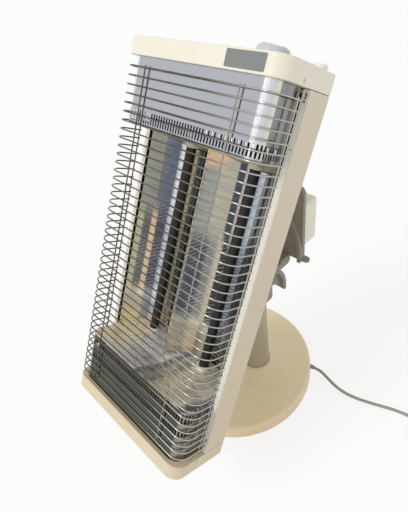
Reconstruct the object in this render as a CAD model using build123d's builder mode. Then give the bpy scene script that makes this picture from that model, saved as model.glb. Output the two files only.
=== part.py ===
from build123d import *
from math import atan2, cos, pi, radians, sin, sqrt, tan
import os

os.makedirs("parts", exist_ok=True)

# A far infrared room heater: a tall head with two black heater tubes behind a wire guard, on a neck that
# swings and tilts over a round base. Millimetres and degrees. The origin is the centre of the base on the
# floor, +Z is up, and the head faces -Y. The base's own front points another way, because the head stands
# swung to one side.

# Base
base_radius = 174.0
foot_gap = 2.0
plate_wall = 3.0
seam_height = 8.5
rim_height = 32.5
rim_round = 6.0
dome_height = 37.0
cover_wall = 3.0
lap_height = 5.0
lap_wall = 2.5
boss_radius = 100.0
boss_mouth = 33.0
boss_height = 44.5
boss_level = 33.0
fit_gap = 0.3
post_inset = 19.0
post_radius = 5.0
screw_radius = 1.8
screw_head_radius = 3.6
screw_head = 1.8
base_screw_length = 12.0
foot_inset = 26.0
foot_radius = 10.0
foot_recess = 1.0
foot_count = 5
weight_inset = 36.0
weight_thickness = 3.0

# Swing bearing and motor, on the pole's axis
pole_offset = 54.92
base_rear = 32.98
pole_radius = 29.0
pole_wall = 1.6
pole_gap = 0.5
bracket_radius = 46.0
bracket_wall = 2.0
bracket_top = 22.0
bracket_flange = 3.5
motor_radius = 25.0
motor_shaft = 3.0
clutch_radius = 10.0
clutch_height = 2.2
bearing_width = 13.0
bearing_height = 1.7
flange_thickness = 3.0
spigot_height = 10.0
spigot_wall = 4.0
retainer_wall = 2.5
lead_radius = 3.2
tip_switch_length = 30.0
tip_switch_width = 22.0
tip_switch_height = 14.0
terminal_length_across = 36.0
terminal_block_depth = 16.0
terminal_block_height = 12.0
inner_lead_length = 26.0

# Neck
pole_top = 292.0
sleeve_bottom = 240.0
sleeve_top = 330.0
sleeve_half_width = 34.0
sleeve_half_depth = 36.0
sleeve_round = 18.0
sleeve_cap = 4.0
block_half_width = 46.0
block_back = 64.0
block_bottom = 311.0
block_round = 9.0
pivot_forward = 62.19
pivot_height = 379.5
ear_gap = 44.0
ear_thickness = 10.0
ear_radius = 10.0
ear_root_front = 30.0
ear_root_back = 25.0
ear_root_bottom = 275.0
ear_tip_angle = 127.0
pin_radius = 5.0
running_gap = 0.05
pin_head_radius = 9.0
pin_head_height = 3.0
wall_half_width = 72.5
wall_front = 64.1
wall_thickness = 6.5
wall_bottom = 327.0
wall_top = 477.0
wall_round = 12.0
arch_height = 108.0
arch_centre = 338.0
arch_width = 7.0
arch_depth = 7.0
lip_half_width = 83.0
lip_reach = 12.0
lip_thickness = 5.0
lip_drop = 2.0
rear_cover_half_width = 71.0
rear_cover_bottom = 354.0
rear_cover_top = 441.0
rear_cover_depth = 36.5
rear_cover_round = 6.0
rear_cover_wall = 2.0
rear_post_across = 60.0
rear_post_radius = 4.5
hook_half_width = 24.0
hook_web = 4.0
hook_web_across = 12.0
swing_board_half_width = 42.0
swing_board_height = 60.0
swing_board_gap = 4.0
swing_relay_across = 18.0
swing_relay_width = 26.0
swing_relay_height = 40.0

# Head, in its own directions: across it, backwards through it and up it
tilt = 28.55
head_width = 279.0
head_depth = 111.0
head_length = 605.0
cap_height = 25.0
cap_wall = 2.5
cap_ledge = 12.0
corner_radius = 21.85
rear_radius = 4.0
cap_edge = 2.0
hub_across = 18.5
hub_back = 140.0
sheet = 1.0
flange_depth = 62.4
flange_width = 10.0
flange_slot_length = 8.0
flange_slot_width = 2.0
case_seam = 0.8
case_screw_end = 60.0
case_screw_inner = 220.0
case_screw_length = 6.0
window_inset = 21.5
window_end = 105.0
panel_inset = 13.5
panel_end = 38.0
panel_margin = 10.0
panel_depth = 11.0
panel_sheet = 1.0
panel_round = 10.0
panel_draft = 20.0
vent_inset = 60.0
vent_count = 12
vent_pitch = 14.0
vent_length = 30.0
vent_width = 4.0
shield_inset = 11.5
shield_front = 7.0
shield_back = 62.0
shield_radius = 18.0
shield_sheet = 0.7
shield_top = 117.0
slot_pitch = 5.4
slot_width = 2.8
slot_height = 17.0
slot_row = 105.0
second_slot_height = 13.0
second_slot_row = 78.5
deflector_sheet = 0.8
deflector_bend = 56.0
deflector_knee = 101.0
deflector_knee_rise = 16.1
deflector_end = 115.0
deflector_end_rise = 20.2
deflector_lap = 2.0
trough_across = 66.0
trough_bottom = 117.5
trough_focus = 21.0
ridge_half_width = 2.0
reflector_sheet = 1.0
tube_depth = 99.5
tube_radius = 8.0
tube_end = 92.0
ring_radius = 12.0
ring_start = 126.0
ring_length = 10.5
terminal_radius = 6.5
terminal_length = 6.0
stud_radius = 2.5
stud_length = 8.0
clip_sheet = 1.5
clip_half_width = 13.0
clip_depth = 25.0
clip_foot = 14.0
clip_level = 98.0

# Wire guard
wire_radius = 1.1
wire_count = 42
guard_margin = 39.69
guard_inset = 1.5
guard_corner = 21.0
guard_end = 51.0
weld_depth = 0.4
tie_left = -91.5
tie_right = 83.5
tie_side_depth = 47.0
tie_overhang = 3.0
guard_foot_inset = 4.7
guard_foot_depth = 66.0

# Turntable between the head and the tilting bracket
turntable_radius = 42.0
turntable_ring_thickness = 3.0
turntable_plate_thickness = 4.0
spindle_radius = 12.0
spindle_bore = 6.0
spindle_tail = 114.0
nut_radius = 17.0
nut_thickness = 3.0
pivot_plate_size = 80.0
pivot_plate_thickness = 2.0
ring_screw_circle = 33.0
ring_screw_radius = 2.0
ring_screw_head = 4.0
barrel_radius = 9.5

# Controls
dial_inset = 57.5
dial_depth = 50.0
dial_radius = 21.0
dial_height = 11.5
dial_grip_height = 4.5
dial_grip_width = 9.0
dial_grip_length = 34.0
dial_draft = 3.0
dial_edge = 1.5
dial_grip_edge = 1.2
dial_shaft = 3.0
dial_shaft_length = 7.0
dial_switch_size = 30.0
dial_switch_height = 17.0
button_inset = 14.5
button_depth = 92.0
button_radius = 9.0
button_height = 7.0
button_travel = 3.0
button_flange = 1.3
power_switch_size = 14.0
label_width = 59.5
label_height = 19.5
label_inset = 55.1
label_round = 1.5
label_thickness = 0.4

# Electrics
board_half_width = 52.0
board_drop = 90.0
board_height = 57.0
board_depth = 104.0
board_thickness = 1.6
relay_half_width = 30.0
relay_height = 20.0
relay_depth = 16.0
relay_rise = 20.0
board_edge = 6.0
standoff_radius = 3.0
cutout_radius = 8.0
cutout_height = 10.0
hook_up_radius = 1.6
feed_radius = 2.5
terminal_wire_drop = 14.0
feed_wire_rise = 18.0
wire_bend = 8.0

# Cord
cord_radius = 3.1
cord_turn = 36.4
cord_heading = 12.0
cord_height = 14.0
gland_radius = 5.0
gland_tip_radius = 3.9
gland_inside = 14.0
gland_outside = 10.0
coil_centre = (402.0, 184.0)
coil_radius = 47.0
coil_pitch = 6.8
coil_half_turns = 6
tie_wall = 0.8
tie_width = 5.0
plug_length = 38.0
plug_width = 26.0
plug_thickness = 16.0
blade_length = 17.0
blade_width = 6.3
blade_thickness = 1.5
blade_spacing = 12.7

# Directions and places worked out from the values above
pole_x = pole_offset * cos(radians(base_rear))
pole_y = pole_offset * sin(radians(base_rear))
pole_axis = Axis((pole_x, pole_y, 0), (0, 0, 1))
head_back = Vector(0, cos(radians(tilt)), -sin(radians(tilt)))
head_up = Vector(0, sin(radians(tilt)), cos(radians(tilt)))
to_right = Vector(1, 0, 0)
pivot = Vector(pole_x, pole_y - pivot_forward, pivot_height)
hub_up = head_length / 2
head_origin = pivot - to_right * hub_across - head_back * hub_back - head_up * hub_up
head_axis = Axis(head_origin, head_up)
back_axis = Axis(head_origin, head_back)
head_half = head_width / 2
case_top = head_length - cap_height
case_inside = head_depth - sheet
plate_top = foot_gap + plate_wall
weight_top = plate_top + weight_thickness
post_circle = base_radius - post_inset
foot_circle = base_radius - foot_inset
weight_radius = base_radius - weight_inset
wall_back = wall_front + wall_thickness
lip_bottom = wall_bottom - lip_drop
pole_inside = pole_radius - pole_wall
ear_outside = ear_gap / 2 + ear_thickness
window_half_width = head_half - window_inset
panel_half_width = head_half - panel_inset
shield_half_width = head_half - shield_inset
guard_half_width = head_half - guard_inset
guard_foot_across = head_half - guard_foot_inset
wire_pitch = (head_length - 2 * guard_margin) / (wire_count - 1)
dial_across = head_half - dial_inset
button_across = head_half - button_inset
label_across = head_half - label_inset
board_bottom = head_length - board_drop
relay_bottom = board_bottom + relay_rise


def base_level(height):
    """Plane over the base whose x points to the base's own rear."""
    direction = (cos(radians(base_rear)), sin(radians(base_rear)), 0)
    return Plane(origin=(0, 0, height), x_dir=direction, z_dir=(0, 0, 1))


def pole_level(height):
    """Level plane centred on the pole."""
    return Plane(origin=(pole_x, pole_y, height))


def pole_side(across):
    """Upright plane beside the pole: x runs backwards and y up."""
    return Plane(origin=(pole_x + across, pole_y, 0), x_dir=(0, 1, 0), z_dir=(1, 0, 0))


def pole_front(back):
    """Upright plane behind the pole: x runs to the right and y up, and it faces forwards."""
    return Plane(origin=(pole_x, pole_y + back, 0), x_dir=(1, 0, 0), z_dir=(0, -1, 0))


def head_level(height):
    """Plane across the head: x runs to the right and y backwards."""
    return Plane(origin=head_origin + head_up * height, x_dir=to_right, z_dir=head_up)


def head_front(depth):
    """Plane along the head that faces forwards: x runs to the right and y up the head."""
    return Plane(origin=head_origin + head_back * depth, x_dir=to_right, z_dir=-head_back)


def head_rear(depth):
    """Plane along the head that faces backwards: x runs to the left and y up the head."""
    return Plane(origin=head_origin + head_back * depth, x_dir=-to_right, z_dir=head_back)


def head_side(across):
    """Plane along the head that faces right: x runs backwards and y up the head."""
    return Plane(origin=head_origin + to_right * across, x_dir=head_back, z_dir=to_right)


def head_middle():
    """Plane across the middle of the head."""
    return head_level(head_length / 2)


def disc_stack(plane, radius, height, bore=0.0):
    """A disc or ring standing on a plane."""
    with BuildPart() as disc:
        with BuildSketch(plane):
            Circle(radius)
            if bore:
                Circle(bore, mode=Mode.SUBTRACT)
        extrude(amount=height)
    return disc.part


# Cord exit in the rim
cord_direction = Vector(cos(radians(cord_heading)), sin(radians(cord_heading)), 0)
cord_exit = Vector(base_radius * cos(radians(cord_turn)), base_radius * sin(radians(cord_turn)), cord_height)
gland_plane = Plane(origin=cord_exit - cord_direction * gland_inside, x_dir=(0, 0, 1), z_dir=cord_direction)

# Base plate
lap_radius = base_radius - cover_wall - fit_gap
post_start = 180.0 / foot_count
with BuildPart() as base_plate:
    with BuildSketch(base_level(foot_gap)):
        Circle(base_radius)
    extrude(amount=seam_height - foot_gap)
    with BuildSketch(base_level(seam_height)):
        Circle(lap_radius)
    extrude(amount=lap_height)
    with BuildSketch(base_level(plate_top)):
        Circle(lap_radius - lap_wall)
    extrude(amount=seam_height + lap_height - plate_top, mode=Mode.SUBTRACT)
    with BuildSketch(base_level(foot_gap)):
        Circle(foot_radius)
        with PolarLocations(foot_circle, foot_count):
            Circle(foot_radius)
    extrude(amount=foot_recess, mode=Mode.SUBTRACT)
    with Locations(base_level(foot_gap)):
        with PolarLocations(post_circle, foot_count, start_angle=post_start):
            with Locations(Location((0, 0, 0), (180, 0, 0))):
                CounterBoreHole(screw_radius, screw_head_radius + fit_gap, screw_head, depth=plate_wall)
    with BuildSketch(gland_plane):
        Circle(gland_radius)
    extrude(amount=gland_inside, mode=Mode.SUBTRACT)
base_plate.part.label = "base_plate"
export_step(base_plate.part, "parts/base_plate.step")


def dome_profile(inset, bottom):
    """Half section of the base cover: upright rim, rounded shoulder and shallow dome."""
    radius = base_radius - inset
    shoulder = rim_height - inset
    top = dome_height - inset
    flat = base_radius - rim_round
    dome_radius = (flat**2 + (top - shoulder) ** 2) / (2 * (top - shoulder))
    middle = top - dome_radius + sqrt(dome_radius**2 - (flat / 2) ** 2)
    rounding = rim_round - inset
    with BuildSketch(Plane.XZ) as profile:
        with BuildLine():
            Polyline((0, top), (0, bottom), (radius, bottom), (radius, shoulder - rounding))
            TangentArc((radius, shoulder - rounding), (flat, shoulder), tangent=(0, 1))
            ThreePointArc((flat, shoulder), (flat / 2, middle), (0, top))
        make_face()
    return profile.sketch


def boss_profile(inset, bottom):
    """Half section of the rise round the pole."""
    with BuildSketch(pole_front(0)) as profile:
        with BuildLine():
            top = boss_height - inset
            foot = boss_level - inset
            Polyline((0, top), (0, bottom), (boss_radius, bottom), (boss_radius, foot))
            TangentArc((boss_radius, foot), (boss_mouth, top), tangent=(-1, 0))
            Line((boss_mouth, top), (0, top))
        make_face()
    return profile.sketch


# Base cover
boss_root = rim_height - rim_round
with BuildPart() as base_cover:
    revolve(dome_profile(0, seam_height), Axis.Z)
    revolve(boss_profile(0, boss_root), pole_axis)
    revolve(dome_profile(cover_wall, seam_height), Axis.Z, mode=Mode.SUBTRACT)
    revolve(boss_profile(cover_wall, boss_root), pole_axis, mode=Mode.SUBTRACT)
    with BuildSketch(pole_level(boss_root)):
        Circle(pole_radius + pole_gap)
    extrude(amount=boss_height, mode=Mode.SUBTRACT)
    with BuildSketch(base_level(plate_top)):
        with PolarLocations(post_circle, foot_count, start_angle=post_start):
            Circle(post_radius)
    extrude(amount=rim_height - cover_wall / 2 - plate_top)
    with BuildSketch(base_level(plate_top)):
        with PolarLocations(post_circle, foot_count, start_angle=post_start):
            Circle(screw_radius)
    extrude(amount=base_screw_length, mode=Mode.SUBTRACT)
    with BuildSketch(gland_plane):
        Circle(gland_radius)
    extrude(amount=gland_inside + gland_outside, mode=Mode.SUBTRACT)
base_cover.part.label = "base_cover"
export_step(base_cover.part, "parts/base_cover.step")

# Rubber feet, five near the rim and one in the middle
with BuildPart() as rubber_feet:
    with BuildSketch(base_level(0)):
        Circle(foot_radius)
        with PolarLocations(foot_circle, foot_count):
            Circle(foot_radius)
    extrude(amount=foot_gap + foot_recess)
rubber_feet.part.label = "rubber_feet"
export_step(rubber_feet.part, "parts/rubber_feet.step")

# Screws that hold the plate to the cover
with BuildPart() as base_screws:
    with BuildSketch(base_level(foot_gap)):
        with PolarLocations(post_circle, foot_count, start_angle=post_start):
            Circle(screw_head_radius)
    extrude(amount=screw_head)
    with BuildSketch(base_level(foot_gap + screw_head)):
        with PolarLocations(post_circle, foot_count, start_angle=post_start):
            Circle(screw_radius)
    extrude(amount=base_screw_length)
base_screws.part.label = "base_screws"
export_step(base_screws.part, "parts/base_screws.step")

# Steel ballast on the plate
with BuildPart() as base_weight:
    with BuildSketch(base_level(plate_top)):
        Circle(weight_radius)
        with Locations((pole_offset, 0)):
            Circle(bracket_radius + bracket_flange + pole_gap, mode=Mode.SUBTRACT)
    extrude(amount=weight_thickness)
base_weight.part.label = "base_weight"
export_step(base_weight.part, "parts/base_weight.step")

# Bracket over the swing motor
with BuildPart() as motor_bracket:
    with BuildSketch(pole_level(plate_top)):
        Circle(bracket_radius + bracket_flange)
    extrude(amount=bracket_wall)
    with BuildSketch(pole_level(plate_top)):
        Circle(bracket_radius)
    extrude(amount=bracket_top - plate_top)
    with BuildSketch(pole_level(plate_top)):
        Circle(bracket_radius - bracket_wall)
    extrude(amount=bracket_top - bracket_wall - plate_top, mode=Mode.SUBTRACT)
    with BuildSketch(pole_level(plate_top)):
        Circle(clutch_radius + 5 * fit_gap)
    extrude(amount=bracket_top, mode=Mode.SUBTRACT)
motor_bracket.part.label = "motor_bracket"
export_step(motor_bracket.part, "parts/motor_bracket.step")

# Flat synchronous motor hung under the bracket
motor_top = bracket_top - bracket_wall
with BuildPart() as swing_motor:
    with BuildSketch(pole_level(plate_top + fit_gap)):
        Circle(motor_radius)
    extrude(amount=motor_top - plate_top - fit_gap)
    with BuildSketch(pole_level(motor_top)):
        Circle(motor_shaft)
    extrude(amount=bracket_wall - 2 * fit_gap)
swing_motor.part.label = "swing_motor"
export_step(swing_motor.part, "parts/swing_motor.step")

# Plain ring that the pole's flange turns on
bearing_inside = bracket_radius - lap_wall - fit_gap - bearing_width
bearing_top = bracket_top + bearing_height
bearing_outside = bearing_inside + bearing_width
pole_bearing = disc_stack(pole_level(bracket_top), bearing_outside, bearing_height, bearing_inside)
pole_bearing.label = "pole_bearing"
export_step(pole_bearing, "parts/pole_bearing.step")

# Flange and spigot at the foot of the pole
flange_bottom = bearing_top + fit_gap
flange_top = flange_bottom + flange_thickness
with BuildPart() as pole_flange:
    with BuildSketch(pole_level(flange_bottom)):
        Circle(bracket_radius - retainer_wall - pole_gap)
    extrude(amount=flange_thickness)
    with BuildSketch(pole_level(flange_top)):
        Circle(pole_inside)
    extrude(amount=spigot_height)
    with BuildSketch(pole_level(flange_top)):
        Circle(pole_inside - spigot_wall)
    extrude(amount=spigot_height, mode=Mode.SUBTRACT)
pole_flange.part.label = "pole_flange"
export_step(pole_flange.part, "parts/pole_flange.step")

# Slip clutch that the motor turns
slip_clutch = disc_stack(pole_level(flange_bottom - clutch_height), clutch_radius, clutch_height)
slip_clutch.label = "slip_clutch"
export_step(slip_clutch, "parts/slip_clutch.step")

# Retainer that keeps the flange down
retainer_level = flange_top + fit_gap
with BuildPart() as pole_retainer:
    with BuildSketch(pole_level(bracket_top)):
        Circle(bracket_radius)
        Circle(bracket_radius - retainer_wall, mode=Mode.SUBTRACT)
    extrude(amount=retainer_level - bracket_top)
    with BuildSketch(pole_level(retainer_level)):
        Circle(bracket_radius)
        Circle(pole_radius + retainer_wall - pole_gap, mode=Mode.SUBTRACT)
    extrude(amount=retainer_wall)
pole_retainer.part.label = "pole_retainer"
export_step(pole_retainer.part, "parts/pole_retainer.step")

# Sealed tip-over switch
with BuildPart() as tip_over_switch:
    with BuildSketch(base_level(weight_top)):
        with Locations((-base_radius / 3, 0)):
            RectangleRounded(tip_switch_length, tip_switch_width, 2)
    extrude(amount=tip_switch_height)
tip_over_switch.part.label = "tip_over_switch"
export_step(tip_over_switch.part, "parts/tip_over_switch.step")

# Terminal block, in line with the cord's gland
gland_inner_end = cord_exit - cord_direction * gland_inside
block_face = gland_inner_end - cord_direction * inner_lead_length
block_centre = block_face - cord_direction * (terminal_block_depth / 2)
block_plane = Plane(origin=(block_centre.X, block_centre.Y, weight_top), x_dir=cord_direction, z_dir=(0, 0, 1))
with BuildPart() as terminal_block:
    with BuildSketch(block_plane):
        Rectangle(terminal_block_depth, terminal_length_across)
    extrude(amount=terminal_block_height)
terminal_block.part.label = "terminal_block"
export_step(terminal_block.part, "parts/terminal_block.step")

# Lead from the gland to the terminal block
with BuildPart() as base_lead:
    with BuildSketch(Plane(origin=block_face, x_dir=(0, 0, 1), z_dir=cord_direction)):
        Circle(cord_radius)
    extrude(amount=inner_lead_length)
base_lead.part.label = "base_lead"
export_step(base_lead.part, "parts/base_lead.step")

# Gland in the rim, tapering to a strain relief outside
with BuildPart() as cord_gland:
    with BuildSketch(gland_plane):
        Circle(gland_radius)
    extrude(amount=gland_inside)
    with BuildSketch(gland_plane.offset(gland_inside)):
        Circle(gland_radius)
    with BuildSketch(gland_plane.offset(gland_inside + gland_outside)):
        Circle(gland_tip_radius)
    loft()
cord_gland.part.label = "cord_gland"
export_step(cord_gland.part, "parts/cord_gland.step")


# Pole
with BuildPart() as pole:
    with BuildSketch(pole_level(flange_top)):
        Circle(pole_radius)
        Circle(pole_inside, mode=Mode.SUBTRACT)
    extrude(amount=pole_top - flange_top)
pole.part.label = "pole"
export_step(pole.part, "parts/pole.step")

# Lead up the pole, along its inner wall
with BuildPart() as pole_lead:
    with BuildSketch(pole_level(flange_top + spigot_height + fit_gap)):
        with Locations((0, pole_inside - lead_radius - fit_gap)):
            Circle(lead_radius)
    extrude(amount=pole_top - flange_top - spigot_height)
pole_lead.part.label = "pole_lead"
export_step(pole_lead.part, "parts/pole_lead.step")

# Neck core: sleeve over the pole, block behind it and two ears for the tilt pin
with BuildPart() as neck_core:
    with BuildSketch(pole_level(sleeve_bottom)):
        RectangleRounded(2 * sleeve_half_width, 2 * sleeve_half_depth, sleeve_round)
    extrude(amount=sleeve_top - sleeve_bottom)
    with BuildSketch(pole_side(-block_half_width)) as block_profile:
        with Locations((block_back / 2, (block_bottom + lip_bottom) / 2)):
            Rectangle(block_back, lip_bottom - block_bottom)
        lower_back = block_profile.vertices().group_by(Axis.Y)[0].sort_by(Axis.X)[-1]
        fillet(lower_back, block_round)
    extrude(amount=2 * block_half_width)
    for left_face in (-ear_outside, ear_gap / 2):
        with BuildSketch(pole_side(left_face)):
            with BuildLine():
                front_angle = atan2(pivot_height - ear_root_bottom, pivot_forward - ear_root_front)
                front_touch = (
                    -pivot_forward - ear_radius * sin(front_angle),
                    pivot_height - ear_radius * cos(front_angle),
                )
                back_angle = atan2(pivot_height - sleeve_top, pivot_forward + ear_root_back)
                back_touch = (
                    -pivot_forward + ear_radius * sin(back_angle),
                    pivot_height + ear_radius * cos(back_angle),
                )
                ear_tip = (
                    -pivot_forward + ear_radius * cos(radians(ear_tip_angle)),
                    pivot_height + ear_radius * sin(radians(ear_tip_angle)),
                )
                Polyline(back_touch, (ear_root_back, sleeve_top), (ear_root_back, ear_root_bottom),
                         (-ear_root_front, ear_root_bottom), front_touch)
                ThreePointArc(front_touch, ear_tip, back_touch)
            make_face()
        extrude(amount=ear_thickness)
    with BuildSketch(pole_side(-ear_outside)):
        with Locations((-pivot_forward, pivot_height)):
            Circle(pin_radius)
    extrude(amount=2 * ear_outside, mode=Mode.SUBTRACT)
    with BuildSketch(pole_level(sleeve_bottom)):
        Circle(pole_radius)
    extrude(amount=sleeve_top - sleeve_cap - sleeve_bottom, mode=Mode.SUBTRACT)
    with BuildSketch(pole_level(block_bottom + sleeve_cap)):
        with Locations((0, (sleeve_half_depth + block_back) / 2)):
            Rectangle(2 * (block_half_width - sleeve_cap), block_back - sleeve_half_depth - 2 * sleeve_cap)
    extrude(amount=sleeve_top, mode=Mode.SUBTRACT)
neck_core.part.label = "neck_core"
export_step(neck_core.part, "parts/neck_core.step")

# Neck housing: upright wall with its arched rib, and a lip for winding the cord
with BuildPart() as neck_housing:
    with BuildSketch(pole_front(wall_back)) as wall_outline:
        with Locations((0, (wall_bottom + wall_top) / 2)):
            Rectangle(2 * wall_half_width, wall_top - wall_bottom)
        fillet(wall_outline.vertices().group_by(Axis.Y)[-1], wall_round)
    extrude(amount=wall_thickness)
    with BuildSketch(pole_front(wall_front)):
        with Locations((0, arch_centre)):
            Ellipse(wall_half_width, arch_height)
            Ellipse(wall_half_width - arch_width, arch_height - arch_width, mode=Mode.SUBTRACT)
        with Locations((0, lip_bottom + arch_height)):
            Rectangle(2 * wall_half_width, 2 * arch_height, mode=Mode.INTERSECT)
    extrude(amount=arch_depth)
    with BuildSketch(pole_level(lip_bottom)):
        with Locations((0, wall_front + lip_reach / 2)):
            RectangleRounded(2 * lip_half_width, lip_reach, lip_reach / 2 - 0.1)
        with Locations((0, (sleeve_half_depth + fit_gap + wall_front + 1) / 2)):
            Rectangle(2 * block_half_width, wall_front + 1 - sleeve_half_depth - fit_gap)
    extrude(amount=lip_thickness)
neck_housing.part.label = "neck_housing"
export_step(neck_housing.part, "parts/neck_housing.step")

# Rear cover, a box on the back of the housing
cover_half_height = (rear_cover_top - rear_cover_bottom) / 2
cover_middle = (rear_cover_top + rear_cover_bottom) / 2
rear_skin = rear_cover_depth - rear_cover_wall
with BuildPart() as rear_cover:
    with BuildSketch(pole_front(wall_back)):
        with Locations((0, cover_middle)):
            RectangleRounded(2 * rear_cover_half_width, 2 * cover_half_height, rear_cover_round)
    extrude(amount=-rear_cover_depth)
    fillet(rear_cover.faces().sort_by(Axis.Y)[-1].edges(), rear_cover_round - 1)
    with BuildSketch(pole_front(wall_back)):
        with Locations((0, cover_middle)):
            RectangleRounded(
                2 * (rear_cover_half_width - rear_cover_wall),
                2 * (cover_half_height - rear_cover_wall),
                rear_cover_round - rear_cover_wall,
            )
    extrude(amount=-rear_skin, mode=Mode.SUBTRACT)
    with BuildSketch(pole_front(wall_back)):
        with Locations((-rear_post_across, cover_middle), (rear_post_across, cover_middle)):
            Circle(rear_post_radius)
    extrude(amount=-rear_skin)
    with BuildSketch(pole_front(wall_back)):
        with Locations((-rear_post_across, cover_middle), (rear_post_across, cover_middle)):
            Circle(screw_radius)
    extrude(amount=-rear_cover_depth, mode=Mode.SUBTRACT)
rear_cover.part.label = "rear_cover"
export_step(rear_cover.part, "parts/rear_cover.step")

# Screws through the rear cover
with BuildPart() as cover_screws:
    with BuildSketch(pole_front(wall_back)):
        with Locations((-rear_post_across, cover_middle), (rear_post_across, cover_middle)):
            Circle(screw_radius)
    extrude(amount=-rear_cover_depth)
    with BuildSketch(pole_front(wall_back + rear_cover_depth)):
        with Locations((-rear_post_across, cover_middle), (rear_post_across, cover_middle)):
            Circle(screw_head_radius)
    extrude(amount=-screw_head)
cover_screws.part.label = "cover_screws"
export_step(cover_screws.part, "parts/cover_screws.step")

# Swing relay board inside the rear cover
with BuildPart() as swing_board:
    with BuildSketch(pole_front(wall_back + swing_board_gap)):
        with Locations((0, cover_middle)):
            Rectangle(2 * swing_board_half_width, swing_board_height)
    extrude(amount=-board_thickness)
    with BuildSketch(pole_front(wall_back)):
        with Locations((0, cover_middle)):
            with GridLocations(
                2 * (swing_board_half_width - board_edge), swing_board_height - 2 * board_edge, 2, 2
            ):
                Circle(standoff_radius)
    extrude(amount=-swing_board_gap)
    with BuildSketch(pole_front(wall_back + swing_board_gap + board_thickness)):
        with Locations((-swing_relay_across, cover_middle), (swing_relay_across, cover_middle)):
            Rectangle(swing_relay_width, swing_relay_height)
    extrude(amount=-relay_depth)
swing_board.part.label = "swing_board"
export_step(swing_board.part, "parts/swing_board.step")

# Lower cord hook, a flared plate on two webs
hook_top = (sleeve_half_depth, 299.0)
hook_root = (sleeve_half_depth, 289.0)
hook_tip_out = (80.7, 222.0)
hook_tip = (77.5, 214.8)
hook_tip_in = (72.8, 218.0)
hook_back_bend = (64.0, 277.0)
hook_front_bend = (57.8, 270.0)
web_top = (sleeve_half_depth, 291.0)
web_root = (sleeve_half_depth, 246.0)
web_knee = (58.0, 239.0)
web_tip = (74.0, 221.0)
web_back = (75.0, 236.0)
web_shoulder = (62.0, 271.0)
with BuildPart() as lower_cord_hook:
    with BuildSketch(pole_side(-hook_half_width)):
        with BuildLine():
            ThreePointArc(hook_top, hook_back_bend, hook_tip_out)
            ThreePointArc(hook_tip_out, hook_tip, hook_tip_in)
            ThreePointArc(hook_tip_in, hook_front_bend, hook_root)
            Line(hook_root, hook_top)
        make_face()
    extrude(amount=2 * hook_half_width)
    for left_face in (-hook_web_across - hook_web, hook_web_across):
        with BuildSketch(pole_side(left_face)):
            with BuildLine():
                Polyline(web_top, web_root, web_knee, web_tip, web_back, web_shoulder, web_top)
            make_face()
        extrude(amount=hook_web)
lower_cord_hook.part.label = "lower_cord_hook"
export_step(lower_cord_hook.part, "parts/lower_cord_hook.step")

# Tilt pin, with a head at each end
with BuildPart() as tilt_pin:
    with BuildSketch(pole_side(-ear_outside)):
        with Locations((-pivot_forward, pivot_height)):
            Circle(pin_radius)
    extrude(amount=2 * ear_outside)
    for left_face in (-ear_outside - pin_head_height, ear_outside):
        with BuildSketch(pole_side(left_face)):
            with Locations((-pivot_forward, pivot_height)):
                Circle(pin_head_radius)
        extrude(amount=pin_head_height)
tilt_pin.part.label = "tilt_pin"
export_step(tilt_pin.part, "parts/tilt_pin.step")

# Tilting bracket: a round plate with a barrel on the pin
turntable_back = head_depth + panel_depth + turntable_ring_thickness
plate_face = turntable_back + fit_gap
plate_back = plate_face + turntable_plate_thickness
barrel_half = ear_gap / 2 - pole_gap
with BuildPart() as tilt_bracket:
    with BuildSketch(head_rear(plate_face)):
        with Locations((-hub_across, hub_up)):
            Circle(turntable_radius)
    extrude(amount=turntable_plate_thickness)
    with BuildSketch(head_side(hub_across - barrel_half)):
        with Locations((hub_back, hub_up)):
            Circle(barrel_radius)
        with Locations(((plate_back + hub_back) / 2, hub_up)):
            Rectangle(hub_back - plate_back, 2 * barrel_radius)
    extrude(amount=2 * barrel_half)
    with BuildSketch(head_side(hub_across - barrel_half)):
        with Locations((hub_back, hub_up)):
            Circle(pin_radius + running_gap)
    extrude(amount=2 * barrel_half, mode=Mode.SUBTRACT)
tilt_bracket.part.label = "tilt_bracket"
export_step(tilt_bracket.part, "parts/tilt_bracket.step")

# Hollow spindle that the head turns on, and its nut
with BuildPart() as turntable_spindle:
    with BuildSketch(head_rear(spindle_tail)):
        with Locations((-hub_across, hub_up)):
            Circle(spindle_radius)
            Circle(spindle_bore, mode=Mode.SUBTRACT)
    extrude(amount=plate_face - spindle_tail)
turntable_spindle.part.label = "turntable_spindle"
export_step(turntable_spindle.part, "parts/turntable_spindle.step")

pivot_plate_back = head_depth + panel_depth - panel_sheet
pivot_plate_front = pivot_plate_back - pivot_plate_thickness
nut_front = pivot_plate_front - fit_gap - nut_thickness
with BuildPart() as spindle_nut:
    with BuildSketch(head_rear(nut_front)):
        with Locations((-hub_across, hub_up)):
            RegularPolygon(nut_radius, 6)
            Circle(spindle_radius, mode=Mode.SUBTRACT)
    extrude(amount=nut_thickness)
spindle_nut.part.label = "spindle_nut"
export_step(spindle_nut.part, "parts/spindle_nut.step")


def ring_screw_places():
    """Places of the four turntable screws on a plane that faces backwards."""
    return PolarLocations(ring_screw_circle, 4, start_angle=45)


# Turntable ring outside the back panel, and the pivot plate inside it
with BuildPart() as turntable_ring:
    with BuildSketch(head_rear(head_depth + panel_depth)):
        with Locations((-hub_across, hub_up)):
            Circle(turntable_radius)
            Circle(spindle_radius + running_gap, mode=Mode.SUBTRACT)
            with ring_screw_places():
                Circle(ring_screw_radius, mode=Mode.SUBTRACT)
    extrude(amount=turntable_ring_thickness)
    with BuildSketch(head_rear(turntable_back)):
        with Locations((-hub_across, hub_up)):
            with ring_screw_places():
                Circle(ring_screw_head)
    extrude(amount=-ring_screw_radius, taper=45, mode=Mode.SUBTRACT)
turntable_ring.part.label = "turntable_ring"
export_step(turntable_ring.part, "parts/turntable_ring.step")

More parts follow.
